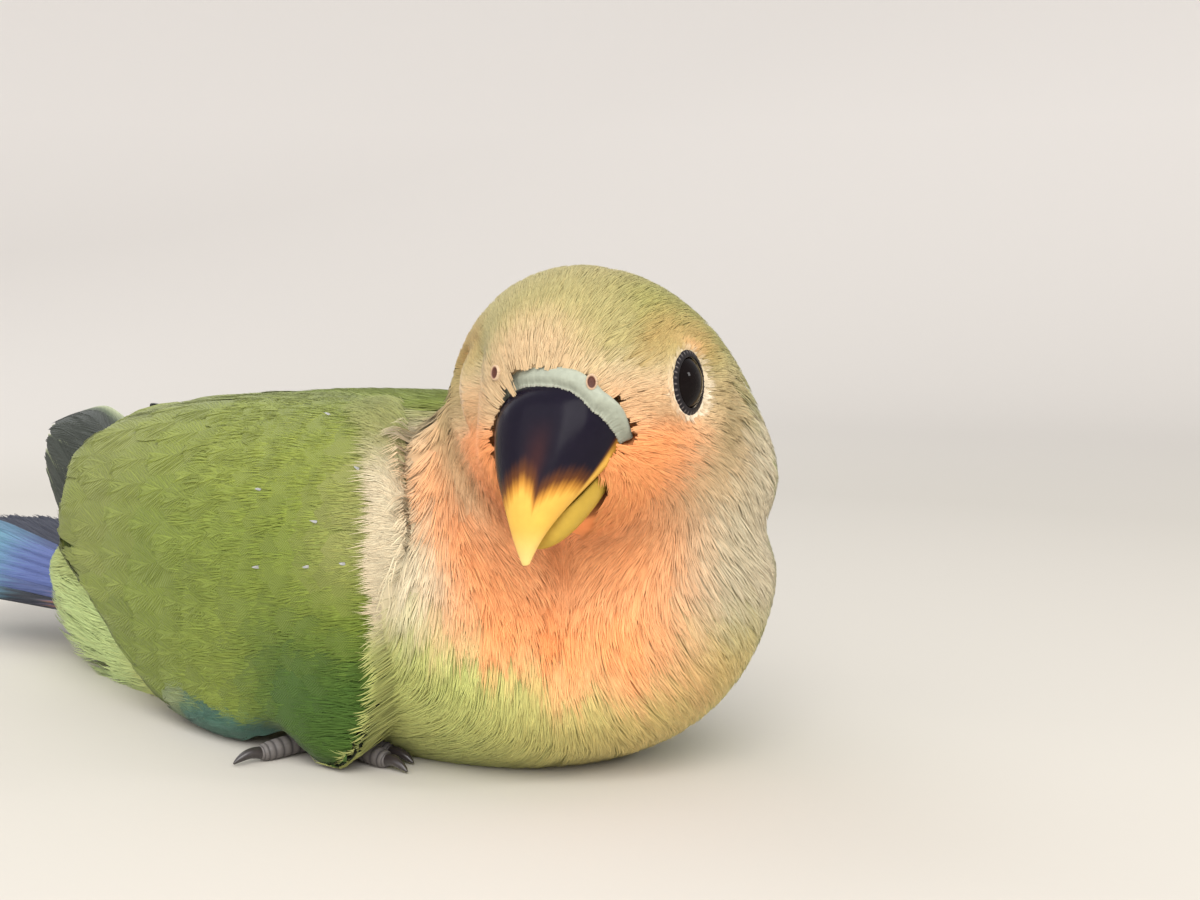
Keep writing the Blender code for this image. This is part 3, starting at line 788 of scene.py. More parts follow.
class Group:
    """A shader node group in the making, with named inputs and outputs."""

    def __init__(self, name: str, inputs: dict[str, str], outputs: dict[str, str]) -> None:
        """Makes the group and its sockets.

        Args:
            name: the group's name.
            inputs: each input's name and kind of socket.
            outputs: each output's name and kind of socket.
        """
        self.tree = bpy.data.node_groups.new(name, "ShaderNodeTree")
        for label, kind in inputs.items():
            self.tree.interface.new_socket(label, in_out="INPUT", socket_type=kind)
        for label, kind in outputs.items():
            self.tree.interface.new_socket(label, in_out="OUTPUT", socket_type=kind)
        self.start = self.tree.nodes.new("NodeGroupInput")
        self.end = self.tree.nodes.new("NodeGroupOutput")

    def math(self, operation: str, first: object, second: object = 0.0) -> bpy.types.NodeSocket:
        """A Math node's result, for sockets or numbers."""
        node = self.tree.nodes.new("ShaderNodeMath")
        node.operation = operation
        for socket, value in zip(node.inputs, (first, second)):
            if isinstance(value, bpy.types.NodeSocket):
                self.tree.links.new(value, socket)
            else:
                socket.default_value = value
        return node.outputs[0]

    def noise(self, place: bpy.types.NodeSocket, scale: object, detail: float) -> bpy.types.NodeSocket:
        """A Noise Texture's value at a place."""
        node = self.tree.nodes.new("ShaderNodeTexNoise")
        node.inputs["Detail"].default_value = detail
        self.tree.links.new(place, node.inputs["Vector"])
        if isinstance(scale, bpy.types.NodeSocket):
            self.tree.links.new(scale, node.inputs["Scale"])
        else:
            node.inputs["Scale"].default_value = scale
        return node.outputs[0]

    def link(self, first: bpy.types.NodeSocket, second: bpy.types.NodeSocket) -> None:
        """Joins two sockets."""
        self.tree.links.new(first, second)


def mottle_group() -> bpy.types.NodeTree:
    """A colour varied softly from place to place, and a height for fine grain.

    Returns:
        The node group.
    """
    group = Group(
        "mottle",
        {"Color": "NodeSocketColor", "Scale": "NodeSocketFloat", "Amount": "NodeSocketFloat"},
        {"Color": "NodeSocketColor", "Height": "NodeSocketFloat"},
    )
    place = group.tree.nodes.new("ShaderNodeTexCoord").outputs["Object"]
    value = group.noise(place, group.start.outputs["Scale"], 3.0)
    centred = group.math("SUBTRACT", value, 0.5)
    factor = group.math("ADD", group.math("MULTIPLY", centred, group.start.outputs["Amount"]), 1.0)
    scaled = group.tree.nodes.new("ShaderNodeVectorMath")
    scaled.operation = "SCALE"
    group.link(group.start.outputs["Color"], scaled.inputs[0])
    group.link(factor, scaled.inputs["Scale"])
    group.link(scaled.outputs[0], group.end.inputs["Color"])
    group.link(value, group.end.inputs["Height"])
    return group.tree


def barb_group() -> bpy.types.NodeTree:
    """The barbs of a feather's vane, slanting back from its shaft on both sides.

    Returns:
        The node group. It reads the vane attribute: across from -1 to 1, along from 0 to 1.
    """
    group = Group(
        "vane barbs",
        {"Vane": "NodeSocketVector", "Count": "NodeSocketFloat"},
        {"Shade": "NodeSocketFloat", "Height": "NodeSocketFloat"},
    )
    parts = group.tree.nodes.new("ShaderNodeSeparateXYZ")
    group.link(group.start.outputs["Vane"], parts.inputs[0])
    across = group.math("ABSOLUTE", parts.outputs[0])
    slanted = group.math("SUBTRACT", parts.outputs[1], group.math("MULTIPLY", across, 0.22))
    uneven = group.math("MULTIPLY", group.noise(group.start.outputs["Vane"], 9.0, 2.0), 0.02)
    turns = group.math("MULTIPLY", group.math("ADD", slanted, uneven), group.start.outputs["Count"])
    wave = group.math("SINE", group.math("MULTIPLY", turns, 2 * math.pi))
    shaft = group.math("LESS_THAN", across, 0.05)
    height = group.math("ADD", group.math("MULTIPLY", wave, 0.5), shaft)
    shade = group.math("ADD", group.math("MULTIPLY", wave, 0.06), 0.97)
    group.link(shade, group.end.inputs["Shade"])
    group.link(height, group.end.inputs["Height"])
    return group.tree


@dataclass(frozen=True)
class Finish:
    """A finish whose colour is the piece's own marking, varied by fine noise."""

    name: str
    roughness: float
    specular: float = 0.3
    sheen: float = 0.0
    coat: float = 0.0
    coat_roughness: float = 0.1
    noise_scale: float = 400.0
    noise_amount: float = 0.2
    bump: float = 0.0
    bump_distance: float = 0.0002
    barbs: float = 0.0
    subsurface: float = 0.0

    def material(self) -> bpy.types.Material:
        """Builds the finish's nodes."""
        material = bpy.data.materials.new(self.name)
        material.use_nodes = True
        nodes, links = material.node_tree.nodes, material.node_tree.links
        shader = nodes["Principled BSDF"]
        shader.inputs["Roughness"].default_value = self.roughness
        shader.inputs["Specular IOR Level"].default_value = self.specular
        shader.inputs["Sheen Weight"].default_value = self.sheen
        shader.inputs["Sheen Roughness"].default_value = 0.5
        shader.inputs["Coat Weight"].default_value = self.coat
        shader.inputs["Coat Roughness"].default_value = self.coat_roughness
        if self.subsurface:
            shader.inputs["Subsurface Weight"].default_value = self.subsurface
            shader.inputs["Subsurface Radius"].default_value = (1.0, 0.5, 0.3)
            shader.inputs["Subsurface Scale"].default_value = 0.0006
        marking = nodes.new("ShaderNodeAttribute")
        marking.attribute_name = "marking"
        mottle = nodes.new("ShaderNodeGroup")
        mottle.node_tree = bpy.data.node_groups["mottle"]
        mottle.inputs["Scale"].default_value = self.noise_scale
        mottle.inputs["Amount"].default_value = self.noise_amount
        links.new(marking.outputs["Color"], mottle.inputs["Color"])
        colour, height = mottle.outputs["Color"], mottle.outputs["Height"]
        if self.barbs:
            vane = nodes.new("ShaderNodeAttribute")
            vane.attribute_name = "vane"
            barbs = nodes.new("ShaderNodeGroup")
            barbs.node_tree = bpy.data.node_groups["vane barbs"]
            barbs.inputs["Count"].default_value = self.barbs
            links.new(vane.outputs["Vector"], barbs.inputs["Vane"])
            shaded = nodes.new("ShaderNodeVectorMath")
            shaded.operation = "SCALE"
            links.new(colour, shaded.inputs[0])
            links.new(barbs.outputs["Shade"], shaded.inputs["Scale"])
            colour, height = shaded.outputs[0], barbs.outputs["Height"]
        links.new(colour, shader.inputs["Base Color"])
        if self.bump:
            bump = nodes.new("ShaderNodeBump")
            bump.inputs["Strength"].default_value = self.bump
            bump.inputs["Distance"].default_value = self.bump_distance
            links.new(height, bump.inputs["Height"])
            links.new(bump.outputs["Normal"], shader.inputs["Normal"])
        return material


@dataclass
class Placement:
    """Where feathers are rooted on a surface, and how they lie on it.

    Each has the u and v of its middle line from root to tip, the steps in u and v across half of
    it at the same places, its depth below the surface at the root, its height above it at the tip,
    and its colour.
    """

    path: np.ndarray
    across: np.ndarray
    depth: np.ndarray
    lift: np.ndarray
    colour: np.ndarray

    @classmethod
    def grown(
        cls, surface: Surface, root: np.ndarray, flow: Flow, turn: np.ndarray, length: np.ndarray,
        width: np.ndarray,
    ) -> "Placement":
        """Lays feathers along a flow over a surface.

        Args:
            surface: the surface.
            root: each root's u and v.
            flow: the direction at a place of the surface.
            turn: how far each feather turns off the flow to its right, as a slope.
            length: the feathers' length.
            width: their width.

        Returns:
            The feathers, without their depth, lift and colour.
        """
        steps, spot = 5, root.astype(float)
        path, across = [], []
        for _ in range(steps + 1):
            lie = surface.lie(spot[:, 0], spot[:, 1])
            way = flow(lie)
            way = way - dot(way, lie.normal)[:, None] * lie.normal
            right = np.cross(unit(way), lie.normal)
            way = unit(unit(way) + right * turn[:, None])
            path.append(spot)
            across.append(lie.steps(np.cross(way, lie.normal) * width[:, None] / 2))
            spot = spot + lie.steps(way * length[:, None] / steps)
            if isinstance(surface, GridSurface):
                across[-1] = np.clip(across[-1], -0.08, 0.08)
                spot = np.clip(spot, 0.0, 1.0)
        count = len(root)
        return cls(np.stack(path, 1), np.stack(across, 1), np.zeros(count), np.zeros(count), np.zeros((count, 3)))

    def fitting(self, surface: Surface, length: np.ndarray, width: np.ndarray) -> "Placement":
        """Only the feathers that the surface doesn't stretch.

        Args:
            surface: the surface.
            length: the length that each was to have.
            width: its width.

        Returns:
            Those feathers.
        """
        a, x = np.array((0.0, 0.5, 0.5, 1.0)), np.array((0.0, -1.0, 1.0, 0.0))
        shape = (len(self.path), 4)
        root, left, right, tip = np.moveaxis(
            surface.place(*self.spots(np.broadcast_to(a, shape), np.broadcast_to(x, shape))), 1, 0
        )
        short = np.linalg.norm(tip - root, axis=1) < 1.2 * length
        return self.keep(short & (np.linalg.norm(right - left, axis=1) < 1.4 * width))

    @classmethod
    def straight(cls, root: np.ndarray, along: np.ndarray, across: np.ndarray) -> "Placement":
        """Feathers that run straight in u and v, without their depth, lift and colour."""
        share = np.linspace(0, 1, 3)[:, None]
        path = root[:, None] + along[:, None] * share
        count = len(root)
        wide = np.repeat(across[:, None], 3, axis=1)
        return cls(path, wide, np.zeros(count), np.zeros(count), np.zeros((count, 3)))

    def keep(self, chosen: np.ndarray | slice) -> "Placement":
        """Only the chosen feathers."""
        return Placement(*(values[chosen] for values in vars(self).values()))

    @staticmethod
    def joined(parts: list["Placement"]) -> "Placement":
        """All feathers of several placements."""
        return Placement(*(np.concatenate(values) for values in zip(*(vars(p).values() for p in parts))))

    def spots(self, a: np.ndarray, x: np.ndarray) -> tuple[np.ndarray, np.ndarray]:
        """u and v at a share of each feather's length and of its half width."""
        steps = self.path.shape[1] - 1
        place = (a * steps).reshape(len(a), -1)
        low = np.clip(np.floor(place).astype(int), 0, steps - 1)
        share = (place - low)[..., None]
        row = np.arange(len(a))[:, None]
        middle = self.path[row, low] * (1 - share) + self.path[row, low + 1] * share
        beside = self.across[row, low] * (1 - share) + self.across[row, low + 1] * share
        spot = (middle + beside * x.reshape(len(a), -1, 1)).reshape(*a.shape, 2)
        return spot[..., 0], spot[..., 1]

    def at_share(self, surface: Surface, share: float) -> np.ndarray:
        """The point on the surface at one share of each feather's length."""
        a = np.full((len(self.path), 1), share)
        return surface.place(*self.spots(a, a * 0))[:, 0]

    def height(self, a: np.ndarray) -> np.ndarray:
        """How high a feather is over the surface at a share of its length."""
        extra = (slice(None),) + (None,) * (a.ndim - 1)
        rise = 1 - (1 - np.clip(a, 0, 1)) ** 1.8
        return -self.depth[extra] + (self.depth + self.lift)[extra] * rise

    def patch(self, surface: Surface, a: np.ndarray, x: np.ndarray) -> np.ndarray:
        """A small patch of the unwrap at each root, for a share of its length and half width."""
        extra = (slice(None),) + (None,) * (a.ndim - 1)
        root = unwrapped(surface, self.path[:, 0, 0] % 1.0, self.path[:, 0, 1])
        u = np.clip(root[:, 0][extra] + x * 0.0015, 0.0, 1.0)
        v = np.clip(root[:, 1][extra] + a * 0.003, 0.0, 1.0)
        return np.stack((u, v), -1)


@dataclass(frozen=True)
class Tuft:
    """How the barbs of a small loose feather spread from its root."""

    barbs: int
    steps: int
    width: float
    root_share: float = 0.35
    ragged: float = 0.12
    flyaway: float = 0.25
    root_shade: float = 0.88
    tip_shade: float = 1.08
    streak: float = 0.08

    def shape(
        self, surface: Surface, placement: Placement, rng: np.random.Generator,
        over: Solids | None = None,
    ) -> Shape:
        """Builds every barb of every feather.

        Args:
            surface: the surface they grow on.
            placement: the feathers.
            rng: the random numbers.
            over: solids that the barbs pass over where they would run into them.

        Returns:
            The barbs as one shape.
        """
        count = len(placement.path)
        side = np.linspace(-1, 1, self.barbs) + rng.normal(0, 0.12, (count, self.barbs))
        tip_a = 1 - 0.22 * side**2 + rng.normal(0, self.ragged, side.shape)
        root_a = rng.uniform(-0.1, 0.12, side.shape)
        spread = rng.normal(1.0, 0.2, (count, 1))
        tip_x = side * spread + rng.normal(0, 0.12, side.shape)
        share = np.linspace(0, 1, self.steps)
        a = root_a[..., None] + (tip_a - root_a)[..., None] * share
        x = side[..., None] * self.root_share + (tip_x - side * self.root_share)[..., None] * share**1.3
        u, v = placement.spots(a, x)
        lie = surface.lie(u, v)
        stray = np.abs(rng.normal(0, self.flyaway, side.shape))[..., None] * share**2
        height = placement.height(a) + stray * (placement.depth * 0.5)[:, None, None]
        point = lie.point + lie.normal * height[..., None]
        if over is not None:
            point = self.raised(point, lie.normal, over)
        point[..., 2] = np.maximum(point[..., 2], FLOOR_GAP + 0.05 * rng.random(point.shape[:-1]))
        tone = rng.normal(1.0, 0.03, (count, 1, 1)) * rng.normal(1.0, self.streak, (*side.shape, 1))
        shade = tone * (self.root_shade + (self.tip_shade - self.root_shade) * share**0.7)
        colour = placement.colour[:, None, None] * shade[..., None]
        warm = rng.normal(0, 0.015, (*side.shape, 1))
        colour = np.clip(colour * np.stack((1 + warm, 1 - warm * 0.3, 1 - warm), -1)[..., 0, :][:, :, None], 0, 0.95)
        width = self.width * rng.uniform(0.8, 1.2, (*side.shape, 1)) * (1 - 0.55 * share[:-1])
        patch = placement.patch(surface, a, x)
        flat = count * self.barbs
        return spikes(
            point.reshape(flat, self.steps, 3),
            lie.normal.reshape(flat, self.steps, 3),
            width.reshape(flat, self.steps - 1),
            colour.reshape(flat, self.steps, 3),
            patch.reshape(flat, self.steps, 2),
        )

    @staticmethod
    def raised(point: np.ndarray, normal: np.ndarray, over: Solids) -> np.ndarray:
        """The points, lifted to just above solids that would hide them."""
        reach, clear = 9.0, 0.25
        flat, way = point[:, :, 1:].reshape(-1, 3), normal[:, :, 1:].reshape(-1, 3)
        distance = over.cast(flat + way * reach, -way, reach)
        lift = np.where(np.isfinite(distance), reach - distance + clear, 0.0)
        moved = flat + way * lift[:, None]
        return np.concatenate((point[:, :, :1], moved.reshape(point[:, :, 1:].shape)), 2)


@dataclass(frozen=True)
class Tract:
    """A stretch of the body's coat, between two stations of its loft."""

    name: str
    start: float
    end: float
    per_area: float
    tuft: Tuft
    width: float
    upper: bool | None = None
    over_wing: bool = False


class Coat:
    """The loose feathers of the head, neck and trunk, over one skin."""

    most_triangles = 190_000
    lengths = (1.5, 1.8, 2.6, 3.3, 4.2, 5.3, 6.0, 6.0, 5.6, 5.6, 6.0, 6.4, 5.2, 2.5)
    depths = (0.2, 0.2, 0.25, 0.3, 0.4, 0.5, 0.6, 0.6, 0.6, 0.6, 0.6, 0.6, 0.5, 0.3)
    short = Tuft(barbs=5, steps=3, width=0.15, root_share=0.8, streak=0.06)
    middle = Tuft(barbs=7, steps=4, width=0.165, root_share=0.6)
    long = Tuft(barbs=8, steps=4, width=0.2, root_share=0.5, ragged=0.14)
    tracts = (
        Tract("face_feathers", 0.30, 2.0, 4.4, short, 0.6),
        Tract("crown_feathers", 2.0, 3.1, 3.2, short, 0.75, upper=True),
        Tract("cheek_feathers", 2.0, 3.1, 3.4, short, 0.75, upper=False),
        Tract("nape_feathers", 3.1, 5.2, 1.0, middle, 1.1, upper=True, over_wing=True),
        Tract("throat_feathers", 3.1, 5.2, 1.5, middle, 1.1, upper=False, over_wing=True),
        Tract("mantle_feathers", 5.2, 7.2, 0.7, long, 1.8, upper=True),
        Tract("breast_feathers", 5.2, 7.2, 1.1, middle, 1.3, upper=False, over_wing=True),
        Tract("back_feathers", 7.2, 10.0, 0.45, long, 2.2, upper=True),
        Tract("belly_feathers", 7.2, 10.0, 0.55, long, 1.9, upper=False),
        Tract("tail_coverts", 10.0, 12.7, 0.36, long, 2.2),
    )

    def __init__(self, body: Body, bill: Solids, rng: np.random.Generator) -> None:
        """Takes the body's loft, out to the tips of the coat, and the finished bill."""
        self.body = body
        self.bill = bill
        self.rng = rng
        self.wings = Solids.packed("wing_left", "wing_right", "primaries_left", "primaries_right")
        self.spots = np.arange(body.last_v + 1)

    def thin_round_eye(self, point: np.ndarray, near: float, far: float) -> np.ndarray:
        """0 on the rim of an eye's lids and 1 away from both eyes."""
        share = np.ones(point.shape[:-1])
        for side in Side:
            away = point - HEAD.eye(side)
            axis = HEAD.eye_axis(side)
            deep = dot(away, axis)
            radial = np.linalg.norm(away - deep[..., None] * axis, axis=-1)
            share = np.minimum(share, np.where(deep > 0, soft(radial, near, far), 1.0))
        return share

    def depth(self, v: np.ndarray, point: np.ndarray) -> np.ndarray:
        """How far the skin lies below the coat's tips."""
        full = np.interp(v, self.spots, self.depths)
        return full * (0.12 + 0.88 * self.thin_round_eye(point, 3.0, 6.5))

    def skin(self, material: bpy.types.Material) -> None:
        """Builds the one skin that the head, neck, trunk and shanks share."""
        around, along = 168, 150
        u = np.arange(around) / around
        ends = 0.04
        v = ends + (self.body.last_v - 2 * ends) * (1 - np.cos(np.linspace(0, math.pi, along))) / 2
        v = 0.5 * v + 0.5 * np.linspace(ends, self.body.last_v - ends, along)
        grid_u, grid_v = np.meshgrid(u, v)
        lie = self.body.lie(grid_u, grid_v)
        point = lie.point - lie.normal * self.depth(grid_v, lie.point)[..., None]
        for side in Side:
            point = self.socket(point, side)
        flat, way = point.reshape(-1, 3), lie.normal.reshape(-1, 3)
        over_cere = self.bill.cast(flat + way * 0.2, -way, 3.0)
        point = (flat - way * np.where(np.isfinite(over_cere), over_cere + 0.15, 0.0)[:, None]).reshape(point.shape)
        point[..., 2] = np.maximum(point[..., 2], 0.0)
        shape = loft_shape(self.body, u, v, point)
        shape.colour = MARKINGS.at(shape.points)
        head = HEAD.local(shape.points)
        # painted shade: the skin darkened next to the bill, low down beside the lower bill where the mouth corner
        # lies
        gape_shade = soft(self.bill.distance(shape.points, 2.5), 1.6, 0.6) * soft(head[:, 2], -2.5, -4.5)
        shape.colour *= 1 - 0.85 * gape_shade[:, None]
        nodes = ("head", "neck", "trunk", "leg_left", "leg_right")
        shape.to_piece("skin", material, "body_feathers", nodes)

    @staticmethod
    def socket(point: np.ndarray, side: Side) -> np.ndarray:
        """The skin's points, sunk in behind the rim of one eye."""
        axis = HEAD.eye_axis(side)
        away = point - HEAD.eye(side)
        deep = dot(away, axis)
        radial = np.linalg.norm(away - deep[..., None] * axis, axis=-1)
        sunk = np.where(deep > 0, soft(radial, 2.9, 2.3), 0.0) * 1.6
        return point - axis * sunk[..., None]

    def scatter(self, tract: Tract) -> tuple[np.ndarray, np.ndarray]:
        """Roots spread evenly over a tract by area.

        Args:
            tract: the tract.

        Returns:
            The roots' u and v.
        """
        rows, columns = 160, 420
        edges_v = np.linspace(tract.start, tract.end, rows + 1)
        u, v = np.meshgrid((np.arange(columns) + 0.5) / columns, (edges_v[1:] + edges_v[:-1]) / 2)
        lie = self.body.lie(u, v)
        area = np.linalg.norm(np.cross(lie.per_u, lie.per_v), axis=-1)
        area *= (tract.end - tract.start) / rows / columns
        upright = np.cos(2 * np.pi * u) > -0.12
        if tract.upper is not None:
            area *= upright == tract.upper
        area *= lie.point[..., 2] > -0.6
        crowded = 1 + 1.6 * (1 - self.thin_round_eye(lie.point, 3.2, 6.0))
        total = np.cumsum((area * crowded * tract.per_area).ravel())
        count = int(total[-1])
        cell = np.searchsorted(total, np.arange(count) + self.rng.random(count))
        cell = np.minimum(cell, total.size - 1)
        row, column = cell // columns, cell % columns
        step_v = (tract.end - tract.start) / rows
        return (
            (column + self.rng.random(count)) / columns,
            tract.start + (row + self.rng.random(count)) * step_v,
        )

    def flow(self, lie: Lie) -> np.ndarray:
        """The direction in which the coat lies: back from the bill, parted at eyes and throat."""
        point, normal = lie.point, lie.normal
        way = unit(lie.per_v)
        for side in Side:
            away = point - HEAD.eye(side)
            axis = HEAD.eye_axis(side)
            deep = dot(away, axis)
            radial = away - deep[..., None] * axis
            distance = np.linalg.norm(radial, axis=-1)
            push = np.where(deep > 0, np.exp(-np.maximum(distance - 3.4, 0) / 1.6), 0.0)
            way = way + unit(radial) * (push * 1.6)[..., None]
        head = HEAD.local(point)
        across = dot(point - MARKINGS.bib_centre, MARKINGS.bib_side)
        under_bill = bell(point[..., 2], 28.0, 8.5) * soft(head[..., 0], -7, 0)
        pull = -np.tanh(across / 1.5) * soft(np.abs(across), 17, 5) * under_bill
        way = way + MARKINGS.bib_side * (pull * 1.3)[..., None]
        low = soft(point[..., 2], 16, 5) * soft(head[..., 0], -12, 2)
        way = way + MARKINGS.bib_side * (np.tanh(across / 8) * low * 0.5)[..., None]
        return unit(way - dot(way, normal)[..., None] * normal)

    def placement(self, tract: Tract) -> Placement:
        """Roots and lies the feathers of a tract.

        Args:
            tract: the tract.

        Returns:
            The feathers that aren't under the bill, the eyes or a wing.
        """
        rng = self.rng
        u, v = self.scatter(tract)
        lie = self.body.lie(u, v)
        count = len(u)
        eye = self.thin_round_eye(lie.point, LID_RADIUS - 0.1, 7.0)
        length = np.interp(v, self.spots, self.lengths) * (0.34 + 0.66 * eye)
        length *= rng.uniform(0.85, 1.15, count)
        width = tract.width * rng.uniform(0.8, 1.2, count) * (0.5 + 0.5 * eye)
        turn = rng.normal(0, 0.09, count)
        root = np.column_stack((u, v))
        feathers = Placement.grown(self.body, root, self.flow, turn, length, width)
        if tract.over_wing:
            spot = feathers.path[:, -1]
            tip = self.body.lie(spot[:, 0], spot[:, 1])
            above = np.isfinite(self.wings.cast(tip.point + tip.normal * 0.05, tip.normal, 9.0))
            shrink = np.where(above, 0.5, 1.0)[:, None, None]
            feathers.path = feathers.path[:, :1] + (feathers.path - feathers.path[:, :1]) * shrink
        feathers.depth = self.depth(v, lie.point) * 0.92
        vent = bell(v, 10.9, 0.9) * soft(lie.normal[:, 2], 0.1, -0.5)
        feathers.lift = 0.1 + (0.1 + 1.6 * vent) * rng.random(count)
        feathers.colour = MARKINGS.at(feathers.at_share(self.body, 0.7))
        return feathers.keep(self.shown(tract, feathers, lie, eye))

    def shown(self, tract: Tract, feathers: Placement, lie: Lie, eye: np.ndarray) -> np.ndarray:
        """Which feathers aren't under the bill, the eyes or a wing.

        Args:
            tract: their tract.
            feathers: the feathers.
            lie: the surface at their roots.
            eye: 0 on the lids' rim.

        Returns:
            One truth value for each.
        """
        keep = eye > 0.0
        if tract.end < 4.0:
            spot = feathers.path[:, 2]
            middle = self.body.lie(spot[:, 0], spot[:, 1])
            keep &= ~np.isfinite(self.bill.cast(middle.point + middle.normal * 0.3, -middle.normal, 1.45))
            for side in Side:
                keep &= np.linalg.norm(middle.point - HEAD.nostril(side), axis=-1) > 1.0
            return keep & self.outside_bill(middle.point)
        hidden = np.isfinite(self.wings.cast(lie.point + lie.normal * 0.05, lie.normal, 9.0))
        if not tract.over_wing:
            spot = feathers.path[:, -1]
            tip = self.body.lie(spot[:, 0], spot[:, 1])
            hidden &= np.isfinite(self.wings.cast(tip.point + tip.normal * 0.05, tip.normal, 9.0))
        return keep & ~hidden

    def outside_bill(self, point: np.ndarray) -> np.ndarray:
        """Whether points lie clear of the bill and cere: a ray ahead from each meets neither."""
        away = np.broadcast_to(HEAD.axes[0], point.shape)
        return ~np.isfinite(self.bill.cast(point, np.ascontiguousarray(away), 30.0))

    def build(self, skin: bpy.types.Material, feathers: bpy.types.Material) -> None:
        """Builds the skin and then every tract of the coat.

        Args:
            skin: the skin's material.
            feathers: the coat's material.
        """
        self.skin(skin)
        for tract in self.tracts:
            placement = self.placement(tract)
            over = self.wings if tract.over_wing else None
            slot = "face_feathers" if tract.end < 4.0 else "body_feathers"
            per_feather = tract.tuft.barbs * (6 * (tract.tuft.steps - 1) - 2)
            pieces = math.ceil(len(placement.path) * per_feather / self.most_triangles)
            for number in range(pieces):
                part = placement.keep(slice(number, None, pieces))
                shape = tract.tuft.shape(self.body, part, self.rng, over)
                name = tract.name if pieces == 1 else f"{tract.name}_{number + 1}"
                shape.to_piece(name, feathers, slot)


def rounded(a: np.ndarray, root: float = 0.35, tip: float = 0.62, power: float = 2.4) -> np.ndarray:
    """A feather's half width along its length: widening from the root and round at the tip."""
    widen = root + (1 - root) * np.clip(a / 0.3, 0, 1) ** 0.8
    end = np.clip((a - tip) / (1 - tip), 0, 1)
    return widen * np.sqrt(np.maximum(1 - end**power, 0.0)) + 0.02


@dataclass(frozen=True)
class Vane:
    """How a firm feather is made: a thin blade with a fringe of barbs over it."""

    rows: int = 7
    columns: int = 5
    thickness: float = 0.1
    barbs: int = 22
    barb_width: float = 0.14
    first_barb: float = 0.3
    root: float = 0.35
    tip: float = 0.62
    power: float = 2.4
    arch: float = 0.15
    fringe: float = 1.04
    shade: float = 0.85

    def blades(
        self, surface: Surface, placement: Placement, paint: "Paint | None" = None
    ) -> Shape:
        """The blades of the feathers.

        Args:
            surface: the surface they lie on.
            placement: the feathers.
            paint: colours them by the place on the feather, or none for the placement's colour.

        Returns:
            The blades as one shape.
        """
        count = len(placement.path)
        along = np.linspace(0, 1, self.rows) ** 0.85
        a = np.broadcast_to(along[:, None], (count, self.rows, self.columns))
        across = np.broadcast_to(np.linspace(-1, 1, self.columns), a.shape)
        x = across * rounded(a, self.root, self.tip, self.power)
        lie = surface.lie(*placement.spots(a, x))
        height = placement.height(a) - self.arch * across**2 * a
        point = lie.point + lie.normal * height[..., None]
        point[..., 2] = np.maximum(point[..., 2], FLOOR_GAP + self.thickness)
        if paint is None:
            colour = np.broadcast_to(placement.colour[:, None, None], point.shape) * self.shade
        else:
            colour = paint.at(placement, a, across)
        vane = np.stack((across, a, a * 0), -1)
        return plates(point, lie.normal, self.thickness, colour, placement.patch(surface, a, x), vane)

    def fringe_barbs(
        self, surface: Surface, placement: Placement, rng: np.random.Generator,
        paint: "Paint | None" = None,
    ) -> Shape:
        """The barbs that lie over the blades and stand a little past their rims.

        Args:
            surface: the surface they lie on.
            placement: the feathers.
            rng: the random numbers.
            paint: colours them by the place on the feather.

        Returns:
            The barbs as one shape.
        """
        count, barbs = len(placement.path), 2 * self.barbs
        side = np.tile((-1.0, 1.0), self.barbs)
        start = np.repeat(np.linspace(self.first_barb, 0.95, self.barbs), 2)
        start = start + rng.normal(0, 0.01, (count, barbs))
        end = np.minimum(start + 0.32 + 0.05 * rng.random(start.shape), 1.0 + 0.02 * rng.random(start.shape))
        share = np.linspace(0, 1, 3)
        a = start[..., None] + (end - start)[..., None] * share
        edge = rounded(np.minimum(end, 0.985), self.root, self.tip, self.power) * self.fringe
        edge = edge * rng.uniform(0.9, 1.08, edge.shape) * (1 - 0.35 * soft(start, 0.85, 1.0))
        x = (side * edge)[..., None] * share**0.85
        lie = surface.lie(*placement.spots(a, x))
        across = x / np.maximum(rounded(a, self.root, self.tip, self.power), 0.1)
        height = placement.height(a) - self.arch * np.clip(across, -1, 1) ** 2 * a + 0.04
        height = height + 0.05 * rng.random((count, barbs, 1)) * share
        point = lie.point + lie.normal * height[..., None]
        point[..., 2] = np.maximum(point[..., 2], FLOOR_GAP + 0.1)
        if paint is None:
            colour = np.broadcast_to(placement.colour[:, None, None], point.shape)
        else:
            colour = paint.at(placement, a, across)
        shade = rng.normal(1.0, 0.04, (count, barbs, 1)) * (0.94 + 0.1 * share)
        colour = np.clip(colour * shade[..., None], 0, 0.95)
        width = self.barb_width * rng.uniform(0.8, 1.2, (count, barbs, 1)) * (1 - 0.4 * share[:-1])
        patch = placement.patch(surface, a, x)
        flat = count * barbs
        return spikes(
            point.reshape(flat, 3, 3),
            lie.normal.reshape(flat, 3, 3),
            width.reshape(flat, 2),
            colour.reshape(flat, 3, 3),
            patch.reshape(flat, 3, 2),
        )


class Paint:
    """Colours a feather by the place along and across it."""

    def at(self, placement: Placement, a: np.ndarray, across: np.ndarray) -> np.ndarray:
        """The colour at shares of the length and half width."""
        raise NotImplementedError


class FlightPaint(Paint):
    """A blackish vane with a green outer edge and a thin pale rim."""

    def at(self, placement: Placement, a: np.ndarray, across: np.ndarray) -> np.ndarray:
        """The colour at shares of the length and half width."""
        colour = np.empty((*a.shape, 3))
        colour[:] = (0.036, 0.042, 0.034)
        green = soft(across, 0.45, 0.85)[..., None]
        colour += (np.array((0.15, 0.20, 0.08)) - colour) * green * 0.75
        rim = soft(across, 0.80, 0.95)[..., None]
        return colour + (np.array((0.46, 0.50, 0.30)) - colour) * rim * 0.85


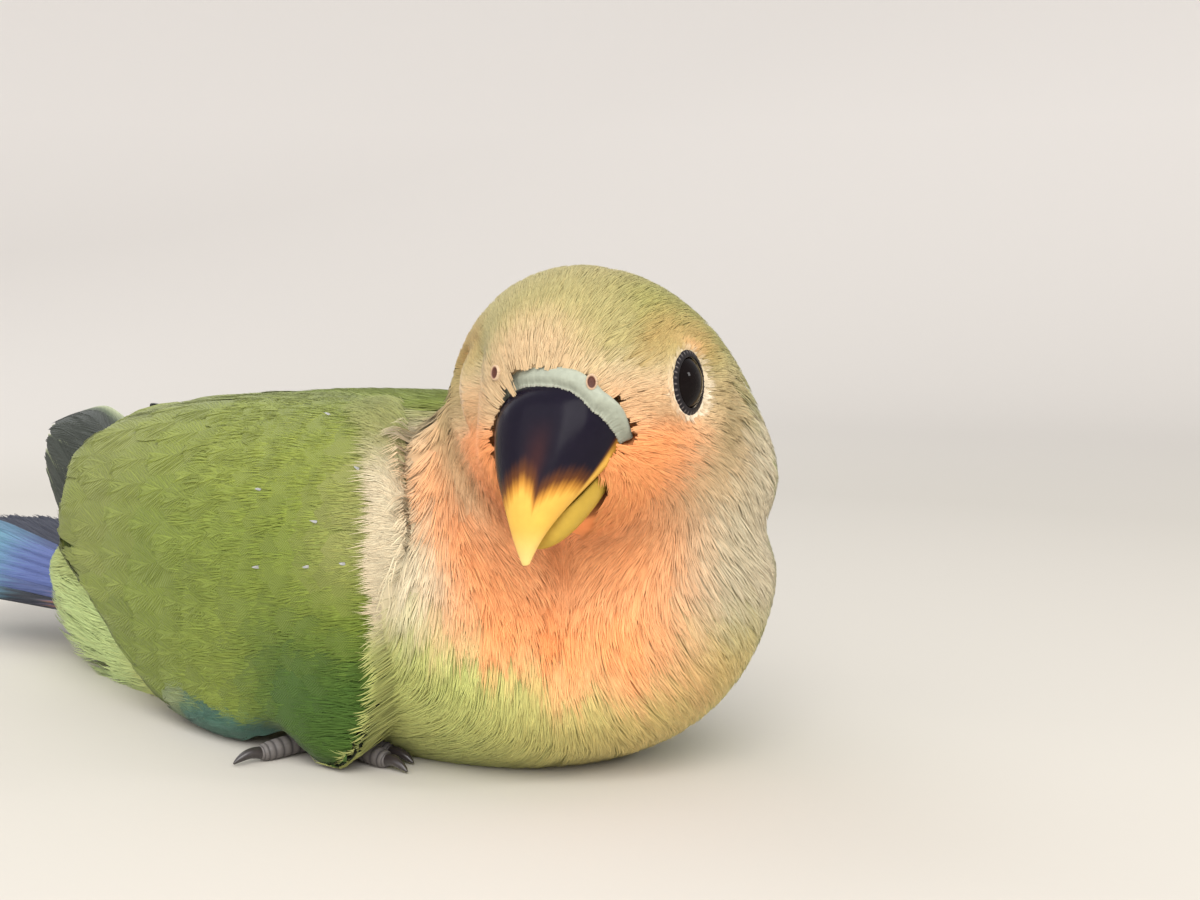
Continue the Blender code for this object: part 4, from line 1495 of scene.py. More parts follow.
class TailPaint(Paint):
    """Tail feathers: blue in the middle, and orange, black and blue-green outwards."""

    def at(self, placement: Placement, a: np.ndarray, across: np.ndarray) -> np.ndarray:
        """The colour at shares of the length and half width."""
        place = placement.colour[:, 0].reshape(-1, *(1,) * (a.ndim - 1))
        colour = np.empty((*a.shape, 3))
        colour[:] = (0.100, 0.140, 0.360)
        outer = np.maximum(soft(place, 0.52, 0.66), soft(place, 0.16, 0.08))
        orange = outer * soft(a, 0.10, 0.16) * soft(a, 0.34, 0.26) * soft(across, 0.85, 0.3)
        colour += (np.array((0.640, 0.260, 0.110)) - colour) * orange[..., None]
        black = outer * soft(a, 0.28, 0.36) * soft(a, 0.80, 0.70)
        colour += (np.array((0.020, 0.022, 0.032)) - colour) * black[..., None]
        far = soft(place, 0.48, 0.62)
        navy = far * soft(a, 0.16, 0.26)
        colour += (np.array((0.014, 0.018, 0.040)) - colour) * navy[..., None]
        tip = (soft(a, 0.62, 0.82) * (1 - far))[..., None]
        return colour + (np.array((0.130, 0.330, 0.400)) - colour) * tip * 0.8


@dataclass(frozen=True)
class SideTable:
    """Rows of a patch at the bird's side, and how many points it gets along and across.

    A row holds y, half width, widest height, height above that, first angle from the top, low
    width and low height.
    """

    rows: tuple[tuple[float, ...], ...]
    along: int = 72
    across: int = 48

    def grid(self, side: Side) -> np.ndarray:
        """The patch's points."""
        rows = Spline(np.array(self.rows)).at(np.linspace(0, len(self.rows) - 1, self.along))
        share = np.linspace(0, 1, self.across)[None]
        y, half, middle, above, first, low_width, low_z = rows.T[:, :, None]
        upper = np.radians(first + (90 - first) * share * 2)
        lower = np.radians(90 * (share * 2 - 1))
        top = share < 0.5
        x = np.where(top, half * np.sin(upper), low_width + (half - low_width) * np.cos(lower))
        z = np.where(top, middle + above * np.cos(upper), middle - (middle - low_z) * np.sin(lower))
        return np.stack((side.value * x, y + x * 0, z), -1) + ORIGIN_SHIFT

    def surface(self, side: Side, node: str) -> GridSurface:
        """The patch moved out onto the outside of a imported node."""
        grid = self.grid(side)
        per_v, per_u = np.gradient(grid, axis=(0, 1))
        normal = unit(np.cross(per_u, per_v)) * side.value
        reach = 9.0
        start = (grid + normal * reach).reshape(-1, 3)
        solid = Solids.packed(node)
        distance = solid.cast(start, -normal.reshape(-1, 3), 2 * reach).reshape(grid.shape[:2])
        height = np.where(np.isfinite(distance), reach - distance, np.nan)
        height = np.clip(self.filled(height), 0.6, 2.4)
        height *= 0.25 + 0.75 * soft(np.linspace(0, 1, self.along), 0.0, 0.12)[:, None]
        height *= 0.2 + 0.8 * soft(np.linspace(0, 1, self.across), 0.0, 0.12)[None]
        for _ in range(8):
            height = self.smoothed(height)
        return GridSurface(grid + normal * height[..., None], side.value)

    @staticmethod
    def filled(height: np.ndarray) -> np.ndarray:
        """The heights with each gap taking the mean of its neighbours until none is left."""
        for _ in range(80):
            gap = np.isnan(height)
            if not gap.any():
                break
            padded = np.pad(height, 1, constant_values=np.nan)
            around = np.stack((padded[:-2, 1:-1], padded[2:, 1:-1], padded[1:-1, :-2], padded[1:-1, 2:]))
            known = ~np.isnan(around)
            mean = np.where(known, around, 0).sum(0) / np.maximum(known.sum(0), 1)
            height = np.where(gap & known.any(0), mean, height)
        return height

    @staticmethod
    def smoothed(height: np.ndarray) -> np.ndarray:
        """The heights evened out with their neighbours."""
        padded = np.pad(height, 1, mode="edge")
        ring = padded[:-2, 1:-1] + padded[2:, 1:-1] + padded[1:-1, :-2] + padded[1:-1, 2:]
        return height * 0.4 + ring * 0.15


@dataclass(frozen=True)
class Wing:
    """A folded wing: rows of coverts, the inner flight feathers and the long primaries."""

    side: Side
    table: SideTable = SideTable(
        (
            (10.0, 18.8, 21.0, 17.0, 74, 19.0, 13.0),
            (14.0, 20.4, 20.0, 19.2, 46, 20.6, 2.6),
            (20.0, 21.8, 20.0, 20.2, 24, 21.8, 0.6),
            (26.5, 22.1, 20.0, 20.2, 17, 21.8, 3.6),
            (33.0, 22.0, 20.0, 20.2, 15, 21.6, 1.2),
            (42.0, 21.4, 20.0, 20.0, 14, 20.8, 0.8),
            (51.0, 20.2, 20.2, 19.6, 14, 19.6, 2.2),
            (60.0, 18.8, 20.4, 18.8, 18, 18.0, 6.4),
            (69.0, 17.2, 20.6, 18.0, 26, 16.8, 12.4),
            (76.0, 16.0, 20.8, 17.2, 38, 15.9, 17.0),
            (79.5, 15.0, 21.0, 16.8, 62, 15.0, 20.0),
        )
    )
    primaries: SideTable = SideTable(
        (
            (58.0, 15.9, 20.0, 15.8, 56, 15.6, 15.4),
            (65.0, 15.0, 20.2, 15.8, 44, 14.6, 13.6),
            (72.0, 13.9, 20.6, 15.8, 34, 13.4, 13.0),
            (79.0, 12.9, 21.0, 15.2, 27, 12.5, 15.4),
            (85.0, 12.0, 24.0, 12.8, 22, 11.8, 21.0),
            (89.0, 11.3, 27.6, 9.0, 26, 11.2, 26.2),
            (91.8, 10.8, 30.6, 5.0, 44, 10.8, 30.2),
        ),
        40,
        24,
    )

    def web(self, surface: GridSurface, name: str, node: str, slot: str, material: bpy.types.Material,
            depth: float, thickness: float, colour: Colour) -> None:
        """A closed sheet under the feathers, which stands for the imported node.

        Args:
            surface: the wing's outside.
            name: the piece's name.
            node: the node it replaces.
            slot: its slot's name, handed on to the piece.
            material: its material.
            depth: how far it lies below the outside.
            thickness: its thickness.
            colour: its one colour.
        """
        rows, columns = 44, 32
        v, u = np.meshgrid(np.linspace(0.05, 0.985, rows), np.linspace(0.01, 0.99, columns), indexing="ij")
        u = u * (1 - 0.5 * soft(v, 0.26, 0.08))
        u, v = (u, v) if surface.hand > 0 else (u[:, ::-1], v)
        lie = surface.lie(u, v)
        depth = depth + 1.6 * soft(v, 0.2, 0.05) + 1.5 * soft(v, 0.3, 0.1) * soft(u, 0.7, 1.0)
        top = (lie.point - lie.normal * depth[..., None])[None]
        paint = np.broadcast_to(colour, top.shape)
        vane = np.zeros_like(top)
        shape = plates(top, lie.normal[None], thickness, paint, np.stack((u, v), -1)[None], vane)
        shape.points[:, 2] = np.maximum(shape.points[:, 2], FLOOR_GAP)
        shape.to_piece(name, material, slot, (node,))

    def covert_rows(self) -> list[tuple[float, float, float]]:
        """Rows of feathers from the front: v, length and width."""
        rows, v = [], 0.0
        while v < 0.86:
            grow = float(np.interp(v, (0.0, 0.35, 0.6, 0.86), (2.6, 3.6, 6.0, 7.5)))
            width = float(np.interp(v, (0.0, 0.35, 0.6, 0.86), (3.6, 4.6, 6.2, 6.8)))
            rows.append((v, min(grow * 2.5 + 1.5, (1.05 - v) * 71.0), width))
            v += grow / 71.0
        return rows

    def build(self, rng: np.random.Generator, blade: bpy.types.Material, barb: bpy.types.Material) -> None:
        """Builds the whole wing.

        Args:
            rng: the random numbers.
            blade: the material of the blades.
            barb: the material of the barbs.
        """
        label = self.side.label
        surface = self.table.surface(self.side, f"wing_{label}")
        self.web(surface, f"wing_web_{label}", f"wing_{label}", "wing_feathers", blade, 1.15, 0.6,
                 (0.12, 0.16, 0.04))
        placements = []
        for number, (v, length, width) in enumerate(self.covert_rows()):
            placements.append(self.row(surface, rng, number, v, length, width))
        coverts = Placement.joined(placements)
        vane = Vane()
        vane.blades(surface, coverts).to_piece(f"wing_coverts_{label}", blade, "wing_feathers")
        rear = coverts.keep(coverts.path[:, 0, 1] > 0.3)
        vane.fringe_barbs(surface, rear, rng).to_piece(f"wing_barbs_{label}", barb, "wing_feathers")
        self.lesser(surface, rng).to_piece(f"lesser_coverts_{label}", barb, "wing_feathers")
        self.shoulder(surface, rng).to_piece(f"shoulder_feathers_{label}", barb, "body_feathers")
        self.build_primaries(rng, blade, barb)

    def lesser(self, surface: GridSurface, rng: np.random.Generator) -> Shape:
        """The small velvety feathers over the wing's front half.

        Args:
            surface: the wing's outside.
            rng: the random numbers.

        Returns:
            Their barbs as one shape.
        """
        count = 1000
        u, v = rng.random(count), 0.5 * rng.random(count)
        length = np.interp(v, (0.0, 0.25, 0.5), (3.4, 4.6, 6.0)) * rng.uniform(0.85, 1.15, count)
        width = rng.uniform(1.8, 2.6, count)
        turn = rng.normal(0, 0.08, count)
        feathers = Placement.grown(surface, np.column_stack((u, v)), self.backwards, turn, length, width)
        feathers.depth = np.full(count, 0.75)
        feathers.lift = rng.normal(-0.02, 0.03, count)
        tone = rng.normal(1.0, 0.05, (count, 1))
        feathers.colour = MARKINGS.wing(feathers.at_share(surface, 0.7)) * tone
        feathers = feathers.fitting(surface, length, width)
        down = rng.integers(0, len(feathers.path), 9)
        flecks = feathers.keep(down)
        flecks.path = flecks.path[:, :1] + (flecks.path - flecks.path[:, :1]) * 0.14
        flecks.across = flecks.across * 0.07
        flecks.depth, flecks.lift = flecks.depth - 0.6, flecks.lift + 0.2
        flecks.colour = np.full_like(flecks.colour, 0.4)
        feathers = Placement.joined([feathers, flecks])
        tuft = Tuft(barbs=8, steps=3, width=0.24, root_share=0.5, flyaway=0.08, root_shade=0.9,
                    tip_shade=1.04, streak=0.06)
        return tuft.shape(surface, feathers, rng)

    def shoulder(self, surface: GridSurface, rng: np.random.Generator) -> Shape:
        """The breast's loose feathers where they lie over the front of the wing.

        Args:
            surface: the wing's outside.
            rng: the random numbers.

        Returns:
            Their barbs as one shape.
        """
        count = 1500
        above = np.arange(count) < 650
        u = np.where(above, rng.uniform(0.0, 0.10, count), rng.uniform(0.02, 1.0, count))
        v = np.where(above, rng.uniform(0.0, 0.24, count), rng.uniform(0.0, 0.025, count))
        root = surface.place(u, v)
        height = root[:, 2]
        length = rng.uniform(1.8, 4.2, count) * (1 - 0.35 * u)
        turn = rng.normal(0, 0.14, count)
        width = rng.uniform(1.0, 1.5, count)
        feathers = Placement.grown(surface, np.column_stack((u, v)), self.backwards, turn, length, width)
        feathers.depth = np.full(count, 0.4)
        feathers.lift = rng.uniform(0.2, 0.5, count)
        colour = np.broadcast_to(MARKINGS.belly, (count, 3)).copy()
        colour = MARKINGS.over(colour, MARKINGS.collar, soft(height, 12, 18))
        colour += (MARKINGS.wing(root) - colour) * (0.9 * soft(height, 30, 36))[:, None]
        feathers.colour = colour * rng.normal(1.0, 0.05, (count, 1))
        feathers = feathers.fitting(surface, length, width)
        return Tuft(barbs=6, steps=3, width=0.17, root_share=0.7, ragged=0.15).shape(surface, feathers, rng)

    @staticmethod
    def backwards(lie: Lie) -> np.ndarray:
        """The way that the wing's feathers lie: back, and a little down."""
        way = np.array((0.0, 1.0, -0.12))
        return way - dot(lie.normal, way)[..., None] * lie.normal

    def row(
        self, surface: GridSurface, rng: np.random.Generator, number: int, v: float,
        length: float, width: float,
    ) -> Placement:
        """One row of coverts from the top of the wing to its lower edge.

        Args:
            surface: the wing's outside.
            rng: the random numbers.
            number: the row's number, which staggers it.
            v: where it is rooted.
            length: the feathers' length.
            width: their width.

        Returns:
            The feathers.
        """
        line = surface.place(np.linspace(0, 1, 60), np.full(60, v))
        arc = np.linalg.norm(np.diff(line, axis=0), axis=1).sum()
        count = max(int(arc / (width * 0.62)), 3)
        u = (np.arange(count) + 0.5 + 0.5 * (number % 2 - 0.5)) / count
        u = u + rng.normal(0, 0.12 / count, count)
        roots_v = v + rng.normal(0, 0.004, count)
        sizes = rng.uniform(0.92, 1.08, count)
        feathers = Placement.grown(
            surface, np.column_stack((u, roots_v)), self.backwards, rng.normal(0, 0.06, count),
            length * sizes, width * sizes,
        )
        feathers.depth = np.full(count, 0.9)
        feathers.lift = rng.normal(-0.1, 0.03, count)
        seen = feathers.at_share(surface, 0.7)
        feathers.colour = MARKINGS.wing(seen) * rng.normal(1.0, 0.05, (count, 1))
        feathers = feathers.fitting(surface, length * sizes, width * sizes)
        start = feathers.path[:, 0]
        return feathers.keep((start[:, 1] > 0.1) | (start[:, 0] < 0.8))

    def build_primaries(
        self, rng: np.random.Generator, blade: bpy.types.Material, barb: bpy.types.Material
    ) -> None:
        """Builds the long outer flight feathers, fanned one over the other."""
        label = self.side.label
        surface = self.primaries.surface(self.side, f"primaries_{label}")
        count = 8
        place = np.arange(count) / (count - 1)
        root = np.column_stack((0.10 + 0.80 * place, np.zeros(count)))
        reach = 1.0 - 0.30 * place**1.2
        along = np.column_stack((-0.02 * place, reach))
        across = np.column_stack((np.full(count, 0.11), np.zeros(count))) * surface.hand
        feathers = Placement.straight(root, along, across)
        feathers.depth = np.full(count, 0.9)
        feathers.lift = -0.05 - 0.07 * np.arange(count)
        vane = Vane(rows=24, columns=7, thickness=0.3, barbs=60, barb_width=0.14, first_barb=0.1,
                    root=0.8, tip=0.72, power=2.0, arch=0.1, fringe=1.0)
        paint = FlightPaint()
        shape = vane.blades(surface, feathers, paint)
        shape.to_piece(f"primary_blades_{label}", blade, "flight_feathers", (f"primaries_{label}",))
        fringe = vane.fringe_barbs(surface, feathers, rng, paint)
        fringe.to_piece(f"primary_barbs_{label}", barb, "flight_feathers")


@dataclass(frozen=True)
class TailFan(Surface):
    """The middle sheet of the tail's arched fan. u goes across and v along it."""

    base_y: float = 28.95
    base_z: float = 6.8
    length: float = 46.0
    base_width: float = 5.6
    width: float = 12.6
    arch: float = 2.6
    rise: float = 7.6
    roll: float = 20.0
    base_turn: float = 0.4

    def place(self, u: np.ndarray, v: np.ndarray) -> np.ndarray:
        """The points at u and v."""
        t, s = np.asarray(u) * 2 - 1, np.asarray(v, float)
        roll = math.radians(self.roll)
        length = self.length * (1 - 0.24 * np.abs(t) ** 1.6)
        width = self.base_width + (self.width - self.base_width) * np.maximum(s, 1e-4) ** 0.8
        turned = self.base_turn + (1 - self.base_turn) * np.maximum(s, 0)
        z = self.base_z + self.arch * (1 - t * t) + width * t * math.sin(roll) * turned
        z = z + math.tan(math.radians(self.rise)) * s * length
        return np.stack((width * t * math.cos(roll), self.base_y + s * length, z), -1)


@dataclass(frozen=True)
class Tail:
    """Twelve tail feathers, the middle pair on top."""

    count: int = 12

    def build(self, rng: np.random.Generator, blade: bpy.types.Material, barb: bpy.types.Material) -> None:
        """Builds the blades and their barbs.

        Args:
            rng: the random numbers.
            blade: the material of the blades.
            barb: the material of the barbs.
        """
        fan = TailFan()
        place = (np.arange(self.count) + 0.5) / self.count
        from_middle = np.abs(place - 0.5) * 2
        order = np.round(from_middle * (self.count - 1) / 2 - 0.5)
        root = np.column_stack((0.5 + (place - 0.5) * 0.92, np.full(self.count, -0.02)))
        along = np.column_stack((np.zeros(self.count), 1.0 + rng.normal(0, 0.01, self.count)))
        across = np.column_stack((np.full(self.count, 0.062), np.zeros(self.count)))
        lift = 0.52 - 0.13 * order
        feathers = Placement.straight(root, along, across)
        feathers.depth, feathers.lift = 0.1 - lift, lift
        feathers.colour = place[:, None] * np.ones(3)
        vane = Vane(rows=26, columns=7, thickness=0.28, barbs=70, barb_width=0.13, first_barb=0.06,
                    root=0.8, tip=0.86, power=2.2, arch=0.06, fringe=1.0)
        paint = TailPaint()
        shape = vane.blades(fan, feathers, paint)
        shape.to_piece("tail_blades", blade, "tail_feathers", ("tail",))
        vane.fringe_barbs(fan, feathers, rng, paint).to_piece("tail_barbs", barb, "tail_feathers")


@dataclass(frozen=True)
class Arch:
    """One arch of half a bill, in the head's frame: its ridge, and its edges at both sides."""

    ridge: tuple[float, float]
    edge: tuple[float, float]
    half_width: float
    squareness: float = 2.2
    hollow: float = 0.2


class Horn(Surface):
    """Half a bill through its arches, hollow between its edges. u goes round from the ridge."""

    lean = 0.08
    tip = -15.2
    edge_u = 0.3

    def __init__(self, arches: tuple[Arch, ...], hand: float) -> None:
        """Takes the arches from the root to the tip, and which way is out."""
        self.hand = hand
        self.spline = Spline(
            np.array([[*a.ridge, *a.edge, a.half_width, a.squareness, a.hollow] for a in arches])
        )
        self.last_v = float(len(arches) - 1)

    def angle(self, u: np.ndarray) -> np.ndarray:
        """The angle from the ridge, in radians, and a right angle all along the hollow."""
        turned = np.where(u > 0.5, u - 1, u) / self.edge_u * math.pi / 2
        return np.clip(turned, -math.pi / 2, math.pi / 2)

    def place(self, u: np.ndarray, v: np.ndarray) -> np.ndarray:
        """The points at u, in turns from the ridge, and v, in arches."""
        u = np.asarray(u, float) % 1.0
        ridge_f, ridge_u, edge_f, edge_u, half, square, hollow = np.moveaxis(self.spline.at(v), -1, 0)
        angle = self.angle(u)
        power = 2 / square
        inside = (u > self.edge_u) & (u < 1 - self.edge_u)
        across = np.sign(np.sin(angle)) * np.abs(np.sin(angle)) ** power
        across = np.where(inside, (0.5 - u) / (0.5 - self.edge_u), across)
        rise = np.where(inside, hollow * (1 - across**2), np.abs(np.cos(angle)) ** power)
        forward = edge_f + (ridge_f - edge_f) * rise
        up = edge_u + (ridge_u - edge_u) * rise
        out = half * across + self.lean * (up - self.tip)
        return HEAD.world(np.stack((forward, out, up), -1))


@dataclass(frozen=True)
class Bill:
    """The hooked bill with the cere and its nostrils over the root."""

    upper: tuple[Arch, ...] = (
        Arch((8.5, 3.0), (4.5, -3.0), 6.3, 2.4),
        Arch((12.2, 1.9), (8.0, -4.0), 6.7, 2.5),
        Arch((14.3, -1.2), (10.0, -5.8), 6.1, 2.5),
        Arch((15.5, -5.5), (12.1, -7.9), 4.75, 2.3),
        Arch((16.2, -9.5), (14.0, -10.3), 3.0, 2.1),
        Arch((16.3, -12.8), (15.3, -12.8), 1.5, 2.0),
        Arch((15.9, -15.2), (15.6, -15.1), 0.4, 2.0),
    )
    lower: tuple[Arch, ...] = (
        Arch((6.5, -9.8), (4.5, -5.2), 5.4),
        Arch((9.8, -12.4), (8.2, -6.2), 5.3),
        Arch((12.2, -13.8), (11.0, -8.2), 4.3),
        Arch((13.6, -13.8), (12.8, -10.0), 2.9),
        Arch((14.1, -12.7), (13.6, -11.2), 1.2),
    )
    cere_angles: tuple[float, ...] = (-88, -70, -45, -20, 0, 20, 45, 70, 88)
    cere_ends: tuple[float, ...] = (0.5, 0.62, 0.76, 0.88, 1.0, 1.15, 1.45, 1.4, 1.3)

    def build(self, horn: bpy.types.Material, wax: bpy.types.Material) -> Solids:
        """Builds both halves of the bill and the cere.

        Args:
            horn: the bill's material.
            wax: the cere's material.

        Returns:
            Their solids.
        """
        upper = Horn(self.upper, -1.0)
        shape = self.lofted(upper, 160, 120)
        shape.colour[:-2] = self.upper_colour(upper, shape.unwrap[:-2])
        shape.colour[-2:] = (0.8, 0.6, 0.2)
        pieces = [shape.to_piece("upper_bill", horn, "bill_horn", ("bill_upper",))]
        shape = self.lofted(Horn(self.lower, 1.0), 110, 60)
        shape.colour = self.lower_colour(HEAD.local(shape.points))
        pieces.append(shape.to_piece("lower_bill", horn, "bill_horn", ("bill_lower",)))
        pieces.append(self.build_cere(upper, wax))
        return Solids(*(piece.data for piece in pieces))

    @staticmethod
    def lofted(horn: Horn, around: int, along: int) -> Shape:
        """A fine mesh of one half."""
        return loft_shape(horn, np.arange(around) / around, np.linspace(0, horn.last_v, along))

    @staticmethod
    def upper_colour(horn: Horn, places: np.ndarray) -> np.ndarray:
        """Blue-black horn that turns brown and then yellow towards the tip, in streaks.

        Args:
            horn: the upper half.
            places: u, and v as a share.

        Returns:
            The colours.
        """
        u, v = places[:, 0], places[:, 1] * horn.last_v
        angle = np.degrees(horn.angle(u))
        inside = (u > horn.edge_u) & (u < 1 - horn.edge_u)
        middle = np.interp(
            angle, (-80, -45, -22, -6, 4, 16, 30, 50, 72), (3.75, 3.6, 3.4, 3.2, 3.3, 3.75, 3.45, 3.25, 3.05)
        )
        streak = 0.04 * np.sin(angle * 0.45 + 0.6) + 0.03 * np.sin(angle * 1.1 + 2.0)
        edge = middle + streak + 0.015 * np.sin(angle * 2.9 + v * 2)
        colour = np.empty((len(u), 3))
        colour[:] = (0.010, 0.008, 0.016)
        plum = bell(angle, 6.0, 9.0) * soft(v, 1.8, 3.0)
        colour += (np.array((0.070, 0.022, 0.018)) - colour) * plum[:, None] * 0.5
        brown = soft(v, edge - 0.5, edge + 0.05)
        brown = np.maximum(brown, soft(np.abs(angle), 80, 86))[:, None]
        colour += (np.array((0.130, 0.045, 0.014)) - colour) * brown
        amber = soft(v, edge - 0.1, edge + 0.25)
        rim = soft(np.abs(angle), 82, 87) * soft(v, 0.8, 1.3)
        amber = np.maximum(amber, rim)[:, None]
        colour += (np.array((0.520, 0.230, 0.035)) - colour) * amber
        yellow = soft(v, edge + 0.12, edge + 0.5)
        yellow = np.maximum(yellow, rim * soft(v, 1.2, 2.2))[:, None]
        colour += (np.array((0.740, 0.430, 0.080)) - colour) * yellow
        pale = soft(v, 4.4, 5.9)[:, None]
        colour += (np.array((0.820, 0.580, 0.200)) - colour) * pale
        hidden = soft(v - np.interp(angle, Bill.cere_angles, Bill.cere_ends), -0.25, -0.45)
        hidden *= soft(np.abs(angle), 88, 80)
        colour += (np.array((0.500, 0.330, 0.190)) - colour) * hidden[:, None]
        dark = (inside & (v < 3.5))[:, None]
        return np.where(dark, np.array((0.10, 0.04, 0.02)), colour)

    @staticmethod
    def lower_colour(head: np.ndarray) -> np.ndarray:
        """Yellow horn, browner towards the feathers."""
        forward, out, up = head.T
        colour = np.empty_like(head)
        colour[:] = (0.520, 0.340, 0.055)
        streak = 0.3 * np.sin(out * 6.0) + 0.2 * np.sin(out * 15.0 + forward)
        brown = soft(forward + streak, 9.3, 6.5)[:, None]
        return colour + (np.array((0.120, 0.045, 0.015)) - colour) * brown

    def build_cere(self, horn: Horn, wax: bpy.types.Material) -> bpy.types.Object:
        """Builds the cere, lumpy and pale.

        Args:
            horn: the upper half of the bill, which it lies on.
            wax: its material.

        Returns:
            The new piece.
        """
        rows, columns = 70, 220
        t, angle = np.meshgrid(np.linspace(0, 1, rows), np.linspace(-88, 88, columns), indexing="ij")
        radians = np.radians(angle)
        flakes = 0.02 * np.sin(angle * 0.9) * np.sin(angle * 0.37 + 1) + 0.015 * np.sin(angle * 2.3)
        v = np.interp(angle, self.cere_angles, self.cere_ends) - 0.68 * (1 - t) + flakes * t**6
        u = (angle / 90 * horn.edge_u) % 1.0
        lie = horn.lie(u, v)
        lumps = np.sin(angle * 0.13 + 3 * t) * np.sin(t * 7.0 + angle * 0.08)
        height = 0.18 + 1.3 * soft(t, -0.1, 0.4) * soft(t, 1.02, 0.45)
        height = height * (1 - 0.4 * soft(np.abs(angle), 62, 88)) + 0.03 * lumps
        colour = np.empty((*t.shape, 3))
        colour[:] = (0.350, 0.375, 0.300)
        colour *= (1 + 0.05 * lumps)[..., None]
        worn = soft(t, 0.95, 1.0) * (0.5 + 0.5 * np.sin(angle * 1.7))
        colour += (np.array((0.300, 0.260, 0.220)) - colour) * worn[..., None] * 0.5
        top = lie.point + lie.normal * height[..., None]
        top = top + HEAD.axes[0] * (0.5 * soft(t, 1.0, 0.7) * np.cos(radians) ** 2)[..., None]
        places = np.stack((u, np.clip(v / horn.last_v, 0, 1)), -1)
        shape = plates(top[None], lie.normal[None], 1.2, colour[None], places[None], top[None] * 0)
        shape.normals = shape.normals * 0
        return shape.to_piece("cere_band", wax, "cere_skin", ("cere",))

    @staticmethod
    def build_nostril(side: Side, body: Body, solids: Solids, wax: bpy.types.Material) -> None:
        """Builds one nostril as a small sunken cup with a swollen rim, its middle painted dark as the shade of its
        opening.

        Args:
            side: its side.
            body: the bird's loft.
            solids: the bill and the cere.
            wax: its material.
        """
        u, v = np.meshgrid(np.linspace(0, 1, 200, endpoint=False), np.linspace(0.2, 2.4, 120))
        away = HEAD.local(body.place(u, v)) - HEAD.local(HEAD.nostril(side))
        nearest = np.argmin(np.linalg.norm(away * (0.3, 1.0, 1.0), axis=-1))
        lie = body.lie(u.ravel()[nearest], v.ravel()[nearest])
        start = (lie.point + lie.normal * 3.0)[None]
        over = 3.0 - solids.cast(start, -lie.normal[None], 4.0)[0]
        lift = 0.3 + (max(over, 0.0) if np.isfinite(over) else 0.0)
        upright = unit(HEAD.axes[2] - lie.normal * dot(HEAD.axes[2], lie.normal))
        beside = np.cross(upright, lie.normal)
        r, turn = np.meshgrid(np.linspace(0.02, 1, 12), np.linspace(0, 2 * math.pi, 33), indexing="ij")
        height = lift + 0.05 * bell(r, 0.78, 0.14) - 0.1 * soft(r, 0.70, 0.4) - 0.7 * soft(r, 0.80, 1.0)
        top = lie.point + beside * (0.62 * r * np.cos(turn))[..., None]
        top = top + upright * (0.9 * r * np.sin(turn))[..., None] + lie.normal * height[..., None]
        colour = np.empty((*r.shape, 3))
        colour[:] = (0.600, 0.440, 0.290)
        colour += (np.array((0.480, 0.310, 0.200)) - colour) * soft(r, 0.86, 0.72)[..., None]
        # the red-brown lining of the nostril, darkened almost to black as painted shade of its opening
        colour += (np.array((0.080, 0.022, 0.013)) - colour) * soft(r, 0.72, 0.56)[..., None]
        places = np.stack((0.5 + 0.5 * r * np.cos(turn), 0.5 + 0.5 * r * np.sin(turn)), -1)
        normal = np.broadcast_to(lie.normal, top.shape)
        shape = plates(top[None], normal[None], 0.5, colour[None], places[None], top[None] * 0)
        shape.normals = shape.normals * 0
        shape.to_piece(f"nostril_{side.label}", wax, "cere_skin")


class Turntable:
    """Blender's own primitives, added with nothing else selected."""

    @staticmethod
    def finish(obj: bpy.types.Object, name: str, turn: Matrix) -> bpy.types.Object:
        """Names a new primitive and puts its place in its mesh."""
        obj.name = name
        obj.data.name = name
        obj.data.transform(turn)
        obj.matrix_world = Matrix.Identity(4)
        obj.data.shade_smooth()
        return obj

    @staticmethod
    def facing(place: np.ndarray, axis: np.ndarray) -> Matrix:
        """The matrix that puts a piece made along +Z at a place, facing an axis."""
        turn = Vector(axis).to_track_quat("Z", "Y").to_matrix().to_4x4()
        return Matrix.Translation(Vector(place) * MM) @ turn


